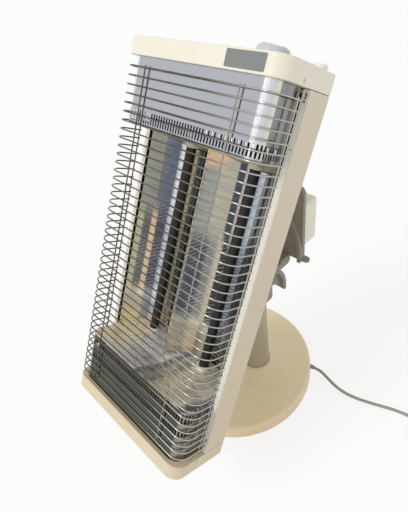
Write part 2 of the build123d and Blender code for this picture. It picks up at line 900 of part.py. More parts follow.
with BuildPart() as pivot_plate:
    with BuildSketch(head_rear(pivot_plate_front)):
        with Locations((-hub_across, hub_up)):
            RectangleRounded(pivot_plate_size, pivot_plate_size, panel_round)
            Circle(spindle_radius + running_gap, mode=Mode.SUBTRACT)
            with ring_screw_places():
                Circle(ring_screw_radius, mode=Mode.SUBTRACT)
    extrude(amount=pivot_plate_thickness)
pivot_plate.part.label = "pivot_plate"
export_step(pivot_plate.part, "parts/pivot_plate.step")

with BuildPart() as turntable_screws:
    with BuildSketch(head_rear(pivot_plate_front)):
        with Locations((-hub_across, hub_up)):
            with ring_screw_places():
                Circle(ring_screw_radius)
    extrude(amount=turntable_back - pivot_plate_front)
    with BuildSketch(head_rear(turntable_back)):
        with Locations((-hub_across, hub_up)):
            with ring_screw_places():
                Circle(ring_screw_head)
    extrude(amount=-ring_screw_radius, taper=45)
turntable_screws.part.label = "turntable_screws"
export_step(turntable_screws.part, "parts/turntable_screws.step")

# Head case: two sides with front flanges and rear returns, joined across both ends of the back
screw_across = (window_half_width + panel_half_width) / 2
screw_heights = (
    case_screw_end,
    case_screw_inner,
    head_length - case_screw_inner,
    head_length - case_screw_end,
)
case_screw_places = [(side * screw_across, height) for side in (-1, 1) for height in screw_heights]
guard_first = guard_margin
guard_last = head_length - guard_margin
lower_flange_slot = guard_first + 9.3
upper_flange_slot = guard_last + 6.2
pilot_height = head_length - 96.0
case_middle = (flange_depth + head_depth) / 2
with BuildPart() as head_case:
    with BuildSketch(head_level(cap_height + case_seam)) as case_outline:
        with Locations((0, case_middle)):
            Rectangle(head_width, head_depth - flange_depth)
        fillet(case_outline.vertices().group_by(Axis.Y)[-1], rear_radius)
    extrude(amount=case_top - cap_height - 2 * case_seam)
    with BuildSketch(head_level(cap_height)) as case_hollow:
        with Locations((0, case_middle)):
            Rectangle(head_width - 2 * sheet, head_depth - flange_depth - 2 * sheet)
        fillet(case_hollow.vertices().group_by(Axis.Y)[-1], rear_radius - sheet)
    extrude(amount=case_top - cap_height, mode=Mode.SUBTRACT)
    with BuildSketch(head_front(flange_depth + sheet)):
        with Locations((0, head_length / 2)):
            Rectangle(head_width - 2 * flange_width, head_length)
    extrude(amount=sheet, mode=Mode.SUBTRACT)
    with BuildSketch(head_front(head_depth)):
        with Locations((0, head_length / 2)):
            Rectangle(2 * window_half_width, head_length - 2 * window_end)
        with Locations(*case_screw_places):
            Circle(screw_radius)
    extrude(amount=sheet, mode=Mode.SUBTRACT)
    with BuildSketch(head_front(flange_depth + sheet)):
        for side in (-1, 1):
            with Locations((side * guard_foot_across, guard_first), (side * guard_foot_across, guard_last)):
                Circle(wire_radius + fit_gap)
            with Locations(
                (side * guard_foot_across, lower_flange_slot),
                (side * guard_foot_across, upper_flange_slot),
            ):
                SlotOverall(flange_slot_length, flange_slot_width, rotation=90)
            with Locations((side * guard_foot_across, pilot_height)):
                Circle(wire_radius)
    extrude(amount=sheet, mode=Mode.SUBTRACT)
head_case.part.label = "head_case"
export_step(head_case.part, "parts/head_case.step")


def panel_outline(depth, inset):
    """Outline of the pressed back panel on a plane that faces backwards."""
    with BuildSketch(head_rear(depth)) as outline:
        with Locations((0, head_length / 2)):
            panel_length = head_length - 2 * (panel_end + inset)
            RectangleRounded(2 * (panel_half_width - inset), panel_length, panel_round)
    return outline.sketch


# Pressed back panel with vents
panel_back = head_depth + panel_depth
with BuildPart() as back_panel:
    extrude(panel_outline(head_depth, 0), amount=panel_sheet)
    extrude(panel_outline(head_depth, panel_margin), amount=panel_depth, taper=panel_draft)
    extrude(panel_outline(head_depth, panel_margin + panel_sheet), amount=panel_depth - panel_sheet,
            taper=panel_draft, mode=Mode.SUBTRACT)
    with BuildSketch(head_rear(head_depth)):
        with Locations((-hub_across, hub_up)):
            Circle(spindle_radius + panel_sheet)
            with ring_screw_places():
                Circle(ring_screw_radius)
        with Locations((0, panel_end + vent_inset), (0, head_length - panel_end - vent_inset)):
            with GridLocations(vent_pitch, 1, vent_count, 1):
                SlotOverall(vent_length, vent_width, rotation=90)
        with Locations(*case_screw_places):
            Circle(screw_radius)
    extrude(amount=panel_depth, mode=Mode.SUBTRACT)
back_panel.part.label = "back_panel"
export_step(back_panel.part, "parts/back_panel.step")

# Screws round the back panel
with BuildPart() as case_screws:
    with BuildSketch(head_rear(head_depth + panel_sheet)):
        with Locations(*case_screw_places):
            Circle(screw_head_radius)
    extrude(amount=screw_head)
    with BuildSketch(head_rear(head_depth + panel_sheet)):
        with Locations(*case_screw_places):
            Circle(screw_radius)
    extrude(amount=-case_screw_length)
case_screws.part.label = "case_screws"
export_step(case_screws.part, "parts/case_screws.step")


def u_outline(plane, half_width, front, back, radius):
    """A rectangle across the head with rounded front corners."""
    with BuildSketch(plane) as outline:
        with Locations((0, (front + back) / 2)):
            Rectangle(2 * half_width, back - front)
        fillet(outline.vertices().group_by(Axis.Y)[0], radius)
    return outline.sketch


def cap_outline(height, inset):
    """Outline of the head's end caps, drawn in from the outside by an inset."""
    front_round = max(corner_radius - inset, 1.0)
    with BuildSketch(head_level(height)) as outline:
        with Locations((0, head_depth / 2)):
            Rectangle(head_width - 2 * inset, head_depth - 2 * inset)
        fillet(outline.vertices().group_by(Axis.Y)[0], front_round)
        if inset < rear_radius:
            fillet(outline.vertices().group_by(Axis.Y)[-1], rear_radius - inset)
    return outline.sketch


# Bottom cap
cap_slot_length = 6.0
cap_slot_width = 1.8
lower_cap_slot = (46.6, cap_height - 7.0)
upper_cap_slot = (43.4, case_top + 6.0)
with BuildPart() as bottom_cap:
    extrude(cap_outline(0, 0), amount=cap_height)
    fillet(bottom_cap.faces().sort_by(head_axis)[0].edges(), cap_edge)
    extrude(cap_outline(cap_wall, cap_wall), amount=cap_height - 2 * cap_wall, mode=Mode.SUBTRACT)
    extrude(cap_outline(cap_height - cap_wall, cap_ledge), amount=cap_wall, mode=Mode.SUBTRACT)
    with BuildSketch(head_side(-head_half)):
        with Locations(lower_cap_slot):
            SlotOverall(cap_slot_length, cap_slot_width, rotation=90)
    extrude(amount=head_width, mode=Mode.SUBTRACT)
bottom_cap.part.label = "bottom_cap"
export_step(bottom_cap.part, "parts/bottom_cap.step")

# Top cap with the dial's shaft hole and the button's hole
with BuildPart() as top_cap:
    extrude(cap_outline(case_top, 0), amount=cap_height)
    fillet(top_cap.faces().sort_by(head_axis)[-1].edges(), cap_edge)
    extrude(cap_outline(case_top + cap_wall, cap_wall), amount=cap_height - 2 * cap_wall, mode=Mode.SUBTRACT)
    extrude(cap_outline(case_top, cap_ledge), amount=cap_wall, mode=Mode.SUBTRACT)
    with BuildSketch(head_level(head_length - cap_wall)):
        with Locations((dial_across, dial_depth)):
            Circle(dial_shaft + 3 * fit_gap)
        with Locations((button_across, button_depth)):
            Circle(button_radius + fit_gap)
    extrude(amount=cap_wall, mode=Mode.SUBTRACT)
    with BuildSketch(head_side(-head_half)):
        with Locations(upper_cap_slot):
            SlotOverall(cap_slot_length, cap_slot_width, rotation=90)
    extrude(amount=head_width, mode=Mode.SUBTRACT)
top_cap.part.label = "top_cap"
export_step(top_cap.part, "parts/top_cap.step")


def shield_slots(middle_height, opening):
    """Tools for one row of upright slots round the front and both sides of a shield."""
    tools = []
    skin = shield_front + shield_sheet / 2
    flat_half = shield_half_width - shield_radius
    front_count = 2 * int(flat_half / slot_pitch) + 1
    reach = 2 * shield_sheet
    with BuildSketch(head_front(skin)) as front_row:
        with Locations((0, middle_height)):
            with GridLocations(slot_pitch, 1, front_count, 1):
                SlotOverall(opening, slot_width, rotation=90)
    tools.append(extrude(front_row.sketch, amount=reach, both=True, mode=Mode.PRIVATE))
    arc_length = shield_radius * pi / 2
    travel = (front_count // 2 + 1) * slot_pitch - flat_half
    while travel < arc_length:
        angle = travel / shield_radius
        for side in (-1, 1):
            normal = to_right * (side * sin(angle)) - head_back * cos(angle)
            centre = (
                head_origin
                + to_right * (side * flat_half)
                + head_back * (shield_front + shield_radius)
                + normal * (shield_radius - shield_sheet / 2)
                + head_up * middle_height
            )
            with BuildSketch(Plane(origin=centre, x_dir=head_up, z_dir=normal)) as corner_slot:
                SlotOverall(opening, slot_width)
            tools.append(extrude(corner_slot.sketch, amount=reach, both=True, mode=Mode.PRIVATE))
        travel += slot_pitch
    side_depth = shield_front + shield_radius + travel - arc_length
    side_places = []
    while side_depth < shield_back - slot_pitch:
        side_places.append((side_depth, middle_height))
        side_depth += slot_pitch
    with BuildSketch(head_side(0)) as side_row:
        with Locations(*side_places):
            SlotOverall(opening, slot_width, rotation=90)
    tools.append(extrude(side_row.sketch, amount=head_half, both=True, mode=Mode.PRIVATE))
    return tools


def bent_shield(bottom, top, rows):
    """A polished sheet bent round the front of the head, with rows of slots."""
    with BuildPart() as shield:
        extrude(u_outline(head_level(bottom), shield_half_width, shield_front, shield_back, shield_radius),
                amount=top - bottom)
        extrude(
            u_outline(
                head_level(bottom),
                shield_half_width - shield_sheet,
                shield_front + shield_sheet,
                shield_back + 1,
                shield_radius - shield_sheet,
            ),
            amount=top - bottom,
            mode=Mode.SUBTRACT,
        )
        for middle_height, opening in rows:
            add(shield_slots(middle_height, opening), mode=Mode.SUBTRACT)
    return shield.part


# Lower and upper shields
lower_rows = [(slot_row, slot_height), (second_slot_row, second_slot_height)]
lower_shield = bent_shield(cap_height, shield_top, lower_rows)
lower_shield.label = "lower_shield"
export_step(lower_shield, "parts/lower_shield.step")
upper_rows = [(head_length - slot_row, slot_height)]
upper_shield = bent_shield(head_length - shield_top, case_top, upper_rows)
upper_shield.label = "upper_shield"
export_step(upper_shield, "parts/upper_shield.step")

# Deflectors that close the ends of the heated space
knee_height = shield_top + deflector_knee_rise
end_height = shield_top + deflector_end_rise
with BuildPart() as lower_deflector:
    extrude(u_outline(head_level(shield_top), shield_half_width, shield_front, deflector_bend, shield_radius),
            amount=deflector_sheet)
    with BuildSketch(head_side(-shield_half_width)):
        with BuildLine():
            Polyline(
                (deflector_bend - deflector_lap, shield_top),
                (deflector_bend, shield_top),
                (deflector_knee, knee_height),
                (deflector_end, end_height),
                (deflector_end, end_height + deflector_sheet),
                (deflector_knee, knee_height + deflector_sheet),
                (deflector_bend, shield_top + deflector_sheet),
                (deflector_bend - deflector_lap, shield_top + deflector_sheet),
                (deflector_bend - deflector_lap, shield_top),
            )
        make_face()
    extrude(amount=2 * shield_half_width)
    with BuildSketch(head_level(shield_top)):
        for side in (-1, 1):
            with Locations((side * head_half, case_inside + head_depth / 2 - fit_gap)):
                Rectangle(2 * (head_half - window_half_width + panel_margin), head_depth)
        with Locations((-trough_across, tube_depth), (trough_across, tube_depth)):
            Circle(ring_radius)
    extrude(amount=head_depth, mode=Mode.SUBTRACT)
lower_deflector.part.label = "lower_deflector"
export_step(lower_deflector.part, "parts/lower_deflector.step")
upper_deflector = mirror(lower_deflector.part, about=head_middle())
upper_deflector.label = "upper_deflector"
export_step(upper_deflector, "parts/upper_deflector.step")

# Reflector: two parabolic troughs side by side, trimmed to the deflectors
trough_half = trough_across - ridge_half_width
ridge_depth = trough_bottom - trough_half**2 / (4 * trough_focus)
trough_control = 2 * trough_bottom - ridge_depth
trough_far = trough_across + trough_half
lip_across = head_half - sheet - fit_gap


def trough_line(offset_depth):
    """Front or back line of the reflector across the head, from left to right."""
    edge = ridge_depth + offset_depth
    control = trough_control + offset_depth
    Line((-lip_across, edge), (-trough_far, edge))
    Bezier((-trough_far, edge), (-trough_across, control), (-ridge_half_width, edge))
    Line((-ridge_half_width, edge), (ridge_half_width, edge))
    Bezier((ridge_half_width, edge), (trough_across, control), (trough_far, edge))
    Line((trough_far, edge), (lip_across, edge))


with BuildPart() as reflector:
    with BuildSketch(head_level(window_end)):
        with BuildLine():
            trough_line(0)
            Line((lip_across, ridge_depth), (lip_across, ridge_depth + reflector_sheet))
            trough_line(reflector_sheet)
            Line((-lip_across, ridge_depth + reflector_sheet), (-lip_across, ridge_depth))
        make_face()
    extrude(amount=head_length - 2 * window_end)
    with BuildSketch(head_side(-head_half)):
        for end in (0, 1):
            with BuildLine():
                trim = deflector_sheet + fit_gap
                trim_points = [
                    (deflector_bend, shield_top + trim),
                    (deflector_knee, knee_height + trim),
                    (deflector_end + 10, end_height + trim + 4),
                    (deflector_end + 10, 0),
                    (deflector_bend, 0),
                    (deflector_bend, shield_top + trim),
                ]
                if end:
                    trim_points = [(depth, head_length - height) for depth, height in trim_points]
                Polyline(*trim_points)
            make_face()
    extrude(amount=head_width, mode=Mode.SUBTRACT)
reflector.part.label = "reflector"
export_step(reflector.part, "parts/reflector.step")


def heater_tube(across):
    """A coated tube from clip to clip, standing in front of its trough."""
    with BuildPart() as tube:
        with BuildSketch(head_level(tube_end)):
            with Locations((across, tube_depth)):
                Circle(tube_radius)
        extrude(amount=head_length - 2 * tube_end)
    return tube.part


left_heater_tube = heater_tube(-trough_across)
left_heater_tube.label = "left_heater_tube"
export_step(left_heater_tube, "parts/left_heater_tube.step")
right_heater_tube = heater_tube(trough_across)
right_heater_tube.label = "right_heater_tube"
export_step(right_heater_tube, "parts/right_heater_tube.step")
tube_places = [(-trough_across, tube_depth), (trough_across, tube_depth)]

# Ceramic rings where the tubes pass the deflectors
with BuildPart() as ceramic_rings:
    with BuildSketch(head_level(ring_start)):
        with Locations(*tube_places):
            Circle(ring_radius)
            Circle(tube_radius + fit_gap, mode=Mode.SUBTRACT)
    extrude(amount=ring_length)
    mirror(about=head_middle())
ceramic_rings.part.label = "ceramic_rings"
export_step(ceramic_rings.part, "parts/ceramic_rings.step")

# End terminals of the tubes
with BuildPart() as tube_terminals:
    with BuildSketch(head_level(tube_end)):
        with Locations(*tube_places):
            Circle(terminal_radius)
    extrude(amount=-terminal_length)
    with BuildSketch(head_level(tube_end - terminal_length)):
        with Locations(*tube_places):
            Circle(stud_radius)
    extrude(amount=-stud_length)
    mirror(about=head_middle())
tube_terminals.part.label = "tube_terminals"
export_step(tube_terminals.part, "parts/tube_terminals.step")

# Clips that carry the tubes on the case
with BuildPart() as tube_clips:
    with BuildSketch(head_level(clip_level)):
        for across, depth in tube_places:
            with Locations((across, case_inside - clip_depth / 2)):
                Rectangle(2 * clip_half_width, clip_depth)
            with Locations((across, depth)):
                Circle(tube_radius + fit_gap, mode=Mode.SUBTRACT)
    extrude(amount=clip_sheet)
    with BuildSketch(head_front(case_inside)):
        for across, depth in tube_places:
            with Locations((across, clip_level - clip_foot / 2 + clip_sheet)):
                Rectangle(2 * clip_half_width, clip_foot)
    extrude(amount=clip_sheet)
    with BuildSketch(head_level(tube_end)):
        with Locations(*tube_places):
            Circle(tube_radius + fit_gap)
    extrude(amount=-clip_foot, mode=Mode.SUBTRACT)
    mirror(about=head_middle())
tube_clips.part.label = "tube_clips"
export_step(tube_clips.part, "parts/tube_clips.step")


def guard_wire(height, ends):
    """One wire bent round the front of the head, its ends given from the left."""
    right_ends = [(-across, depth) for across, depth in reversed(ends)]
    corners = [(-guard_half_width, wire_radius), (guard_half_width, wire_radius)]
    points = ends + corners + right_ends
    foot_rounds = [2 * wire_radius] * (len(ends) - 1)
    with BuildLine(head_level(height)) as route:
        FilletPolyline(*points, radius=foot_rounds + [guard_corner] * 2 + foot_rounds)
    with BuildSketch(Plane(origin=route.line @ 0, z_dir=route.line % 0)) as section:
        Circle(wire_radius)
    return sweep(section.sketch, path=route.line, mode=Mode.PRIVATE)


# Wire guard: bent wires welded to four upright ties
plain_ends = [(-guard_half_width, guard_end)]
foot_ends = [
    (-guard_foot_across, guard_foot_depth),
    (-guard_foot_across, flange_depth - 3),
    (-guard_half_width, flange_depth - 11),
]
weld_step = 2 * wire_radius - weld_depth
front_tie_depth = wire_radius + weld_step
side_tie_across = guard_half_width - weld_step
tie_places = [
    (tie_left, front_tie_depth),
    (tie_right, front_tie_depth),
    (-side_tie_across, tie_side_depth),
    (side_tie_across, tie_side_depth),
]
first_wire = guard_wire(guard_first, foot_ends)
last_wire = guard_wire(guard_last, foot_ends)
middle_wire = guard_wire(guard_first + wire_pitch, plain_ends)
with BuildPart() as wire_guard:
    with BuildSketch(head_level(guard_first - tie_overhang)):
        with Locations(*tie_places):
            Circle(wire_radius)
    extrude(amount=guard_last - guard_first + 2 * tie_overhang)
    wires = [middle_wire.moved(Location(head_up * (wire_pitch * step))) for step in range(wire_count - 2)]
    add([first_wire, last_wire] + wires)
wire_guard.part.label = "wire_guard"
export_step(wire_guard.part, "parts/wire_guard.step")

# Bare plate on the front of the top cap
with BuildPart() as label_plate:
    with BuildSketch(head_front(0)):
        with Locations((label_across, head_length - cap_height / 2)):
            RectangleRounded(label_width, label_height, label_round)
    extrude(amount=label_thickness)
label_plate.part.label = "label_plate"
export_step(label_plate.part, "parts/label_plate.step")

# Control board in the upper compartment
with BuildPart() as control_board:
    with BuildSketch(head_rear(board_depth)):
        with Locations((0, board_bottom + board_height / 2)):
            Rectangle(2 * board_half_width, board_height)
    extrude(amount=board_thickness)
    with BuildSketch(head_rear(board_depth)):
        with Locations((0, board_bottom + board_height / 2)):
            with GridLocations(2 * (board_half_width - board_edge), board_height - 2 * board_edge, 2, 2):
                Circle(standoff_radius)
    extrude(amount=case_inside - board_depth)
    with BuildSketch(head_front(board_depth)):
        with Locations((0, relay_bottom + relay_height / 2)):
            Rectangle(2 * relay_half_width, relay_height)
    extrude(amount=relay_depth)
control_board.part.label = "control_board"
export_step(control_board.part, "parts/control_board.step")

# Thermal cut-out on the upper deflector
with BuildPart() as thermal_cutout:
    with BuildSketch(head_level(head_length - shield_top)):
        with Locations((0, deflector_bend / 2)):
            Circle(cutout_radius)
    extrude(amount=cutout_height)
thermal_cutout.part.label = "thermal_cutout"
export_step(thermal_cutout.part, "parts/thermal_cutout.step")


def hook_up_wire(points, bend):
    """A wire through points on the tubes' plane."""
    with BuildLine(head_front(tube_depth)) as route:
        FilletPolyline(*points, radius=bend)
    with BuildSketch(Plane(origin=route.line @ 0, z_dir=route.line % 0)) as section:
        Circle(hook_up_radius)
    return sweep(section.sketch, path=route.line, mode=Mode.PRIVATE)


# Wires from the tubes' terminals, and the feed lead up the inside of the back panel
stud_end = tube_end - terminal_length - stud_length
upper_run = head_length - stud_end + feed_wire_rise
lower_run = stud_end - terminal_wire_drop
with BuildPart() as head_wiring:
    add(hook_up_wire([(-trough_across, stud_end), (-trough_across, lower_run), (trough_across, lower_run),
                      (trough_across, stud_end)], wire_bend))
    for side in (-1, 1):
        add(hook_up_wire([(side * trough_across, head_length - stud_end), (side * trough_across, upper_run),
                          (side * relay_half_width, upper_run)], wire_bend))
    with BuildSketch(head_level(hub_up + pivot_plate_size / 2 + fit_gap)):
        with Locations((0, panel_back - panel_sheet - fit_gap - feed_radius)):
            Circle(feed_radius)
    extrude(amount=head_length - window_end - hub_up - pivot_plate_size / 2)
head_wiring.part.label = "head_wiring"
export_step(head_wiring.part, "parts/head_wiring.step")

# Control dial with its grip and shaft
with BuildPart() as control_dial:
    with BuildSketch(head_level(head_length + fit_gap)):
        with Locations((dial_across, dial_depth)):
            Circle(dial_radius)
    extrude(amount=dial_height, taper=dial_draft)
    fillet(control_dial.faces().sort_by(head_axis)[-1].edges(), dial_edge)
    with BuildSketch(head_level(head_length + fit_gap + dial_height - 1)):
        with Locations((dial_across, dial_depth)):
            SlotOverall(dial_grip_length, dial_grip_width)
    extrude(amount=dial_grip_height + 1, taper=dial_draft)
    fillet(control_dial.faces().sort_by(head_axis)[-1].edges(), dial_grip_edge)
    with BuildSketch(head_level(head_length + fit_gap)):
        with Locations((dial_across, dial_depth)):
            Circle(dial_shaft)
    extrude(amount=-dial_shaft_length)
control_dial.part.label = "control_dial"
export_step(control_dial.part, "parts/control_dial.step")

# Rotary switch under the dial
with BuildPart() as dial_switch:
    with BuildSketch(head_level(head_length - cap_wall)):
        with Locations((dial_across, dial_depth)):
            RectangleRounded(dial_switch_size, dial_switch_size, 2)
    extrude(amount=-dial_switch_height)
    with BuildSketch(head_level(head_length - cap_wall)):
        with Locations((dial_across, dial_depth)):
            Circle(dial_shaft + running_gap)
    extrude(amount=-dial_shaft_length, mode=Mode.SUBTRACT)
dial_switch.part.label = "dial_switch"
export_step(dial_switch.part, "parts/dial_switch.step")

# Power button, kept in by a flange under the cap's skin
flange_height = head_length - cap_wall - fit_gap - button_flange
with BuildPart() as power_button:
    with BuildSketch(head_level(flange_height)):
        with Locations((button_across, button_depth)):
            Circle(button_radius)
    extrude(amount=head_length + button_height - flange_height)
    fillet(power_button.faces().sort_by(head_axis)[-1].edges(), dial_edge)
    with BuildSketch(head_level(flange_height)):
        with Locations((button_across, button_depth)):
            Circle(button_radius + button_flange)
    extrude(amount=button_flange)
power_button.part.label = "power_button"
export_step(power_button.part, "parts/power_button.step")

# Switch under the power button
switch_top = flange_height - button_travel - fit_gap
with BuildPart() as power_switch:
    with BuildSketch(head_level(case_top + cap_wall)):
        with Locations((button_across, button_depth)):
            Rectangle(power_switch_size, power_switch_size)
    extrude(amount=switch_top - case_top - cap_wall)
power_switch.part.label = "power_switch"
export_step(power_switch.part, "parts/power_switch.step")


def corner_radii(points):
    """Radius of each corner's arc: 0.45 of the shorter run over the tangent of half the turn."""
    radii = []
    for before, corner, after in zip(points, points[1:], points[2:]):
        run_in = Vector(*corner) - Vector(*before)
        run_out = Vector(*after) - Vector(*corner)
        half_turn = radians(run_in.get_angle(run_out)) / 2
        radii.append(0.45 * min(run_in.length, run_out.length) / tan(half_turn))
    return radii


def cord_tube(points, name):
    """A free cord: straight runs joined by tangent arcs. Prints the radii, the length and the volumes."""
    radii = corner_radii(points)
    with BuildLine() as route:
        FilletPolyline(*points, radius=radii)
    with BuildPart() as tube:
        with BuildSketch(Plane(origin=route.line @ 0, z_dir=route.line % 0)):
            Circle(cord_radius)
        sweep(path=route.line)
    length = sum(edge.length for edge in route.line.edges())
    print(name, "radii", [round(radius, 1) for radius in radii], "length", round(length, 1))
    section_volume = pi * cord_radius**2 * length
    print(name, "volume", round(tube.part.volume), "section times length", round(section_volume))
    return tube.part


# Free cord from the gland over the floor to the coil
floor_level = cord_radius
coil_x, coil_y = coil_centre
coil_low = tie_wall + fit_gap + cord_radius
coil_high = coil_low + coil_pitch
straight_end = 2 * cord_radius
gland_tip = cord_exit + cord_direction * gland_outside
first_run = gland_tip + cord_direction * 12
cord_route = [
    (gland_tip.X, gland_tip.Y, gland_tip.Z),
    (first_run.X, first_run.Y, first_run.Z),
    (181.0, 104.9, 10.4),
    (200.0, 101.0, 6.6),
    (221.0, 99.2, 4.2),
    (243.0, 101.2, floor_level + 0.1),
    (269.0, 108.5, floor_level),
    (298.0, 119.5, floor_level + 0.2),
    (326.0, 130.5, floor_level + 0.1),
    (352.0, 136.2, floor_level + 0.5),
    (375.0, coil_y - coil_radius, coil_low),
    (coil_x - straight_end, coil_y - coil_radius, coil_low),
]
power_cord = cord_tube(cord_route, "power_cord")
power_cord.label = "power_cord"
export_step(power_cord, "parts/power_cord.step")

# Coil of the spare cord: half turns spiral in, climb a layer in one half turn, and spiral out again
half_step = coil_pitch / 2
coil_samples = 60
coil_points = []
height = coil_low
here = Vector(coil_x, coil_y - coil_radius, height)
coil_start = here - to_right * straight_end
radius = coil_radius
side = 1
with BuildLine() as coil_route:
    Line(coil_start, here)
    for turn in range(2 * coil_half_turns + 1):
        climbing = turn == coil_half_turns
        rise = coil_pitch if climbing else 0.0
        there = here + Vector(0, side * 2 * radius, rise)
        reach = (there - here).length / 2
        middle = (here + there) * 0.5 + to_right * (side * reach)
        half_turn = ThreePointArc(here, middle, there)
        coil_points += [(turn, half_turn @ (step / coil_samples)) for step in range(coil_samples)]
        here = there
        side = -side
        radius += half_step if turn >= coil_half_turns else -half_step
    coil_end = here - to_right * straight_end
    Line(here, coil_end)
with BuildPart() as cord_coil:
    with BuildSketch(Plane(origin=coil_start, z_dir=to_right)):
        Circle(cord_radius)
    sweep(path=coil_route.line)
closest = min(
    (point - other).length
    for turn, point in coil_points
    for other_turn, other in coil_points
    if other_turn > turn + 1
)
coil_length = sum(edge.length for edge in coil_route.line.edges())
print("coil least gap to itself", round(closest - 2 * cord_radius, 2), "length", round(coil_length))
coil_section_volume = pi * cord_radius**2 * coil_length
print("coil volume", round(cord_coil.part.volume), "section times length", round(coil_section_volume))
cord_coil.part.label = "cord_coil"
export_step(cord_coil.part, "parts/cord_coil.step")

# Tie round the coil
coil_inside = coil_radius - coil_half_turns * half_step
tie_half_height = (coil_high - coil_low) / 2 + cord_radius + fit_gap + tie_wall
tie_middle = (coil_radius + coil_inside) / 2
tie_half_width = (coil_radius - coil_inside) / 2 + cord_radius + fit_gap + tie_wall
with BuildPart() as cord_tie:
    with BuildSketch(Plane(origin=(coil_x, coil_y - tie_width / 2, 0), x_dir=(1, 0, 0), z_dir=(0, -1, 0))):
        with Locations((tie_middle, tie_half_height)):
            RectangleRounded(2 * tie_half_width, 2 * tie_half_height, 3 * tie_wall)
            RectangleRounded(2 * (tie_half_width - tie_wall), 2 * (tie_half_height - tie_wall), 2 * tie_wall,
                             mode=Mode.SUBTRACT)
    extrude(amount=-tie_width)
cord_tie.part.label = "cord_tie"
export_step(cord_tie.part, "parts/cord_tie.step")

# Free cord from the coil to the plug
plug_height = plug_thickness / 2
plug_face = (coil_x + 66.0, coil_y + 108.0, plug_height)
plug_route = [
    (coil_x - straight_end, coil_y + coil_radius, coil_high),
    (coil_x - 25.0, coil_y + coil_radius, coil_high),
    (coil_x - 43.0, coil_y + 53.0, 9.6),
    (coil_x - 54.0, coil_y + 69.0, 7.0),
    (coil_x - 52.0, coil_y + 88.0, 4.8),
    (coil_x - 38.0, coil_y + 101.0, 3.6),
    (coil_x - 17.0, coil_y + 105.0, floor_level + 0.1),
    (coil_x + 6.0, coil_y + 104.0, 3.5),
    (coil_x + 28.0, coil_y + 106.5, 5.6),
    (coil_x + 48.0, coil_y + 108.0, plug_height),
    plug_face,
]
plug_lead = cord_tube(plug_route, "plug_lead")
plug_lead.label = "plug_lead"
export_step(plug_lead, "parts/plug_lead.step")

# Plug body and its two blades
plug_start = Plane(origin=plug_face, x_dir=(0, 1, 0), z_dir=(1, 0, 0))
with BuildPart() as plug_body:
    with BuildSketch(plug_start):
        RectangleRounded(plug_width * 0.45, plug_thickness * 0.7, 3)
    with BuildSketch(plug_start.offset(plug_length * 0.45)):
        RectangleRounded(plug_width, plug_thickness, 4)
    loft()
    with BuildSketch(plug_start.offset(plug_length * 0.45)):
        RectangleRounded(plug_width, plug_thickness, 4)
    extrude(amount=plug_length * 0.55)
plug_body.part.label = "plug_body"
export_step(plug_body.part, "parts/plug_body.step")

with BuildPart() as plug_blades:
    with BuildSketch(plug_start.offset(plug_length)):
        with Locations((-blade_spacing / 2, 0), (blade_spacing / 2, 0)):
            Rectangle(blade_thickness, blade_width)
    extrude(amount=blade_length)
plug_blades.part.label = "plug_blades"
export_step(plug_blades.part, "parts/plug_blades.step")
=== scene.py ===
from math import cos, pi, radians, sin

import bmesh
import bpy
from mathutils import Matrix, Vector


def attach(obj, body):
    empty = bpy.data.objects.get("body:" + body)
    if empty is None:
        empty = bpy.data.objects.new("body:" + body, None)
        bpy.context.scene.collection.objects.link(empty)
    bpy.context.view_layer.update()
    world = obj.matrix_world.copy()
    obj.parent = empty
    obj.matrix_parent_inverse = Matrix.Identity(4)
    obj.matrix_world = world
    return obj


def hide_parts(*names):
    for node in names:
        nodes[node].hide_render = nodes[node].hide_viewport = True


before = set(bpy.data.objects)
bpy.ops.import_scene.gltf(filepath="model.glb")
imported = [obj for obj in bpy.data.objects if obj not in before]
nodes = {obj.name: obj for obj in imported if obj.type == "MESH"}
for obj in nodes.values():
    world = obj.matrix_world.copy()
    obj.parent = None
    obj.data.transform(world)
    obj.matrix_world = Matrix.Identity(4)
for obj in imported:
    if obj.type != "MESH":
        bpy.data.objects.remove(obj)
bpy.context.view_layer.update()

# Places and directions of the heater, in millimetres, as the CAD has them. The head's own axes run across,
# back and up from HEAD, the middle of its foot at the front
MM = 0.001
TILT = radians(28.55)
SWING = radians(32.98)
POLE_REACH = 54.92
PIVOT_AHEAD = 62.19
PIVOT_HEIGHT = 379.5
HUB_ACROSS = 18.5
HUB_DEPTH = 140.0
HUB_LEVEL = 302.5
HEAD_LENGTH = 605.0
RIGHT = Vector((1, 0, 0))
UPRIGHT = Vector((0, 0, 1))
HEAD_BACK = Vector((0, cos(TILT), -sin(TILT)))
HEAD_UP = Vector((0, sin(TILT), cos(TILT)))
POLE = Vector((POLE_REACH * cos(SWING), POLE_REACH * sin(SWING), 0))
PIVOT = POLE + Vector((0, -PIVOT_AHEAD, PIVOT_HEIGHT))
HEAD = PIVOT - RIGHT * HUB_ACROSS - HEAD_BACK * HUB_DEPTH - HEAD_UP * HUB_LEVEL


def placed(origin, across, deep, up):
    """Matrix that takes a piece drawn in millimetres on its own axes to its place in metres."""
    turn = Matrix((across, deep, up)).transposed().to_4x4()
    return Matrix.Translation(origin * MM) @ turn @ Matrix.Scale(MM, 4)


IN_HEAD = placed(HEAD, RIGHT, HEAD_BACK, HEAD_UP)


# Finishes

def paint(red, green, blue):
    """A colour in screen values from 0 to 255, as the shader wants it."""
    values = [level / 255 for level in (red, green, blue)]
    return [v / 12.92 if v <= 0.04045 else ((v + 0.055) / 1.055) ** 2.4 for v in values] + [1.0]


